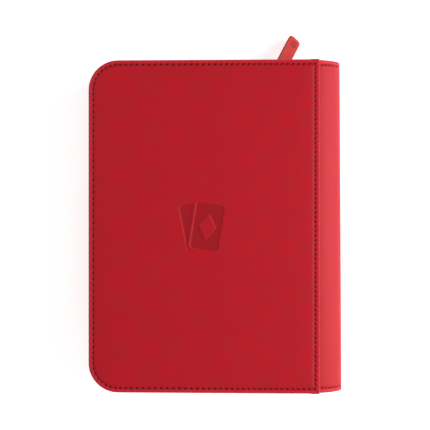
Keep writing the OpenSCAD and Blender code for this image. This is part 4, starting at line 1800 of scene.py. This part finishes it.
@dataclass(frozen=True)
class Studio:
    """A pale floor, a broad soft light from the spine's side, two weak ones, and the camera overhead."""

    layout: Layout
    height: float = 0.73
    lens: float = 86.92
    over: tuple = (8.67, 8.05)
    lean_deg: float = 2.1
    floor_half: float = 3000.0
    floor_drop: float = 0.02
    floor_glow: float = 0.50
    sky: float = 0.30

    def floor(self) -> None:
        """The floor: a wide level sheet just under the object."""
        u = np.linspace(-1, 1, 41)
        gx, gy = np.meshgrid(u * self.floor_half, u * self.floor_half, indexing="ij")
        shape = grid(np.stack([gx, gy, np.full_like(gx, -self.floor_drop)], axis=-1), np.stack([gx, gy], axis=-1))
        f = Finish("pale_floor", 0.85)
        speck = f.w.noise(f.object_place, 40.0)
        f.colour(f.w.tint(f.w.spread(speck, 0.3, 0.7), (0.93, 0.93, 0.935, 1.0), (0.91, 0.91, 0.915, 1.0)))
        f.fixed(Emission_Color=(1.0, 1.0, 1.0, 1.0), Emission_Strength=self.floor_glow, Specular_IOR_Level=0.1)
        mesh = bpy.data.meshes.new("floor")
        mesh.from_pydata((shape.points * MM).tolist(), [], shape.corners.reshape(-1, 4).tolist())
        mesh.materials.append(f.material)
        floor = bpy.data.objects.new("floor", mesh)
        bpy.context.collection.objects.link(floor)

    def light(self, name: str, place: Sequence[float], aim: Sequence[float], size: float, watts: float) -> None:
        """One square area light at a place, facing a point."""
        data = bpy.data.lights.new(name, "AREA")
        data.shape, data.size, data.energy = "SQUARE", size, watts
        lamp = bpy.data.objects.new(name, data)
        lamp.location = place
        lamp.rotation_euler = (Vector(aim) - Vector(place)).to_track_quat("-Z", "Y").to_euler()
        bpy.context.collection.objects.link(lamp)

    def build(self) -> None:
        """Sets the floor, the sky, the lights and the camera."""
        self.floor()
        world = bpy.data.worlds.new("pale sky")
        world.use_nodes = True
        world.node_tree.nodes["Background"].inputs["Color"].default_value = (1.0, 1.0, 1.0, 1.0)
        world.node_tree.nodes["Background"].inputs["Strength"].default_value = self.sky
        bpy.context.scene.world = world
        self.light("right softbox", (0.92, 0.05, 0.50), (0.0, 0.0, 0.02), 0.8, 15.0)
        self.light("left fill", (-0.80, 0.35, 0.75), (0.0, 0.0, 0.0), 0.9, 4.0)
        self.light("foot fill", (0.0, -0.9, 0.8), (0.0, 0.0, 0.0), 0.8, 2.0)
        bpy.context.scene.view_settings.view_transform = "Standard"
        data = bpy.data.cameras.new("camera")
        data.lens, data.sensor_width = self.lens, 36.0
        data.clip_start, data.clip_end = 0.01, 20.0
        camera = bpy.data.objects.new("camera", data)
        lean = math.radians(self.lean_deg)
        top = self.layout.thick * MM
        camera.location = (self.over[0] * MM + math.sin(lean) * self.height, self.over[1] * MM,
                           top + math.cos(lean) * self.height)
        camera.rotation_euler = (0.0, lean, 0.0)
        bpy.context.collection.objects.link(camera)
        bpy.context.scene.camera = camera


# ---------------------------------------------------------------- the whole binder


def main() -> None:
    """Builds the binder's sub-assemblies in order, then the studio round it."""
    logging.basicConfig(level=logging.INFO, format="%(name)s: %(message)s")
    layout = Layout.from_frame()
    palette = Palette()
    outline = Outline(layout)
    for side in Side:
        Cover(layout, side, outline, palette).build()
    Spine(layout, palette).build()
    Zip(layout, outline, palette).build()
    slider_low, slider_high = (np.array(c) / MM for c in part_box("zip_slider"))
    coil_high = np.array(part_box("back_zip_coil")[1]) / MM
    teeth_y = float(coil_high[1]) - 1.2
    Slider(palette, tuple((slider_low + slider_high) / 2), teeth_y).build()
    pivot = next(np.array(j["pos_m"]) / MM for j in frame["joints"] if j["name"] == "ring_swing")
    Pull(palette, tuple(pivot)).build()
    Binding(layout, palette).build()
    Studio(layout).build()


if __name__ == "__main__":
    main()
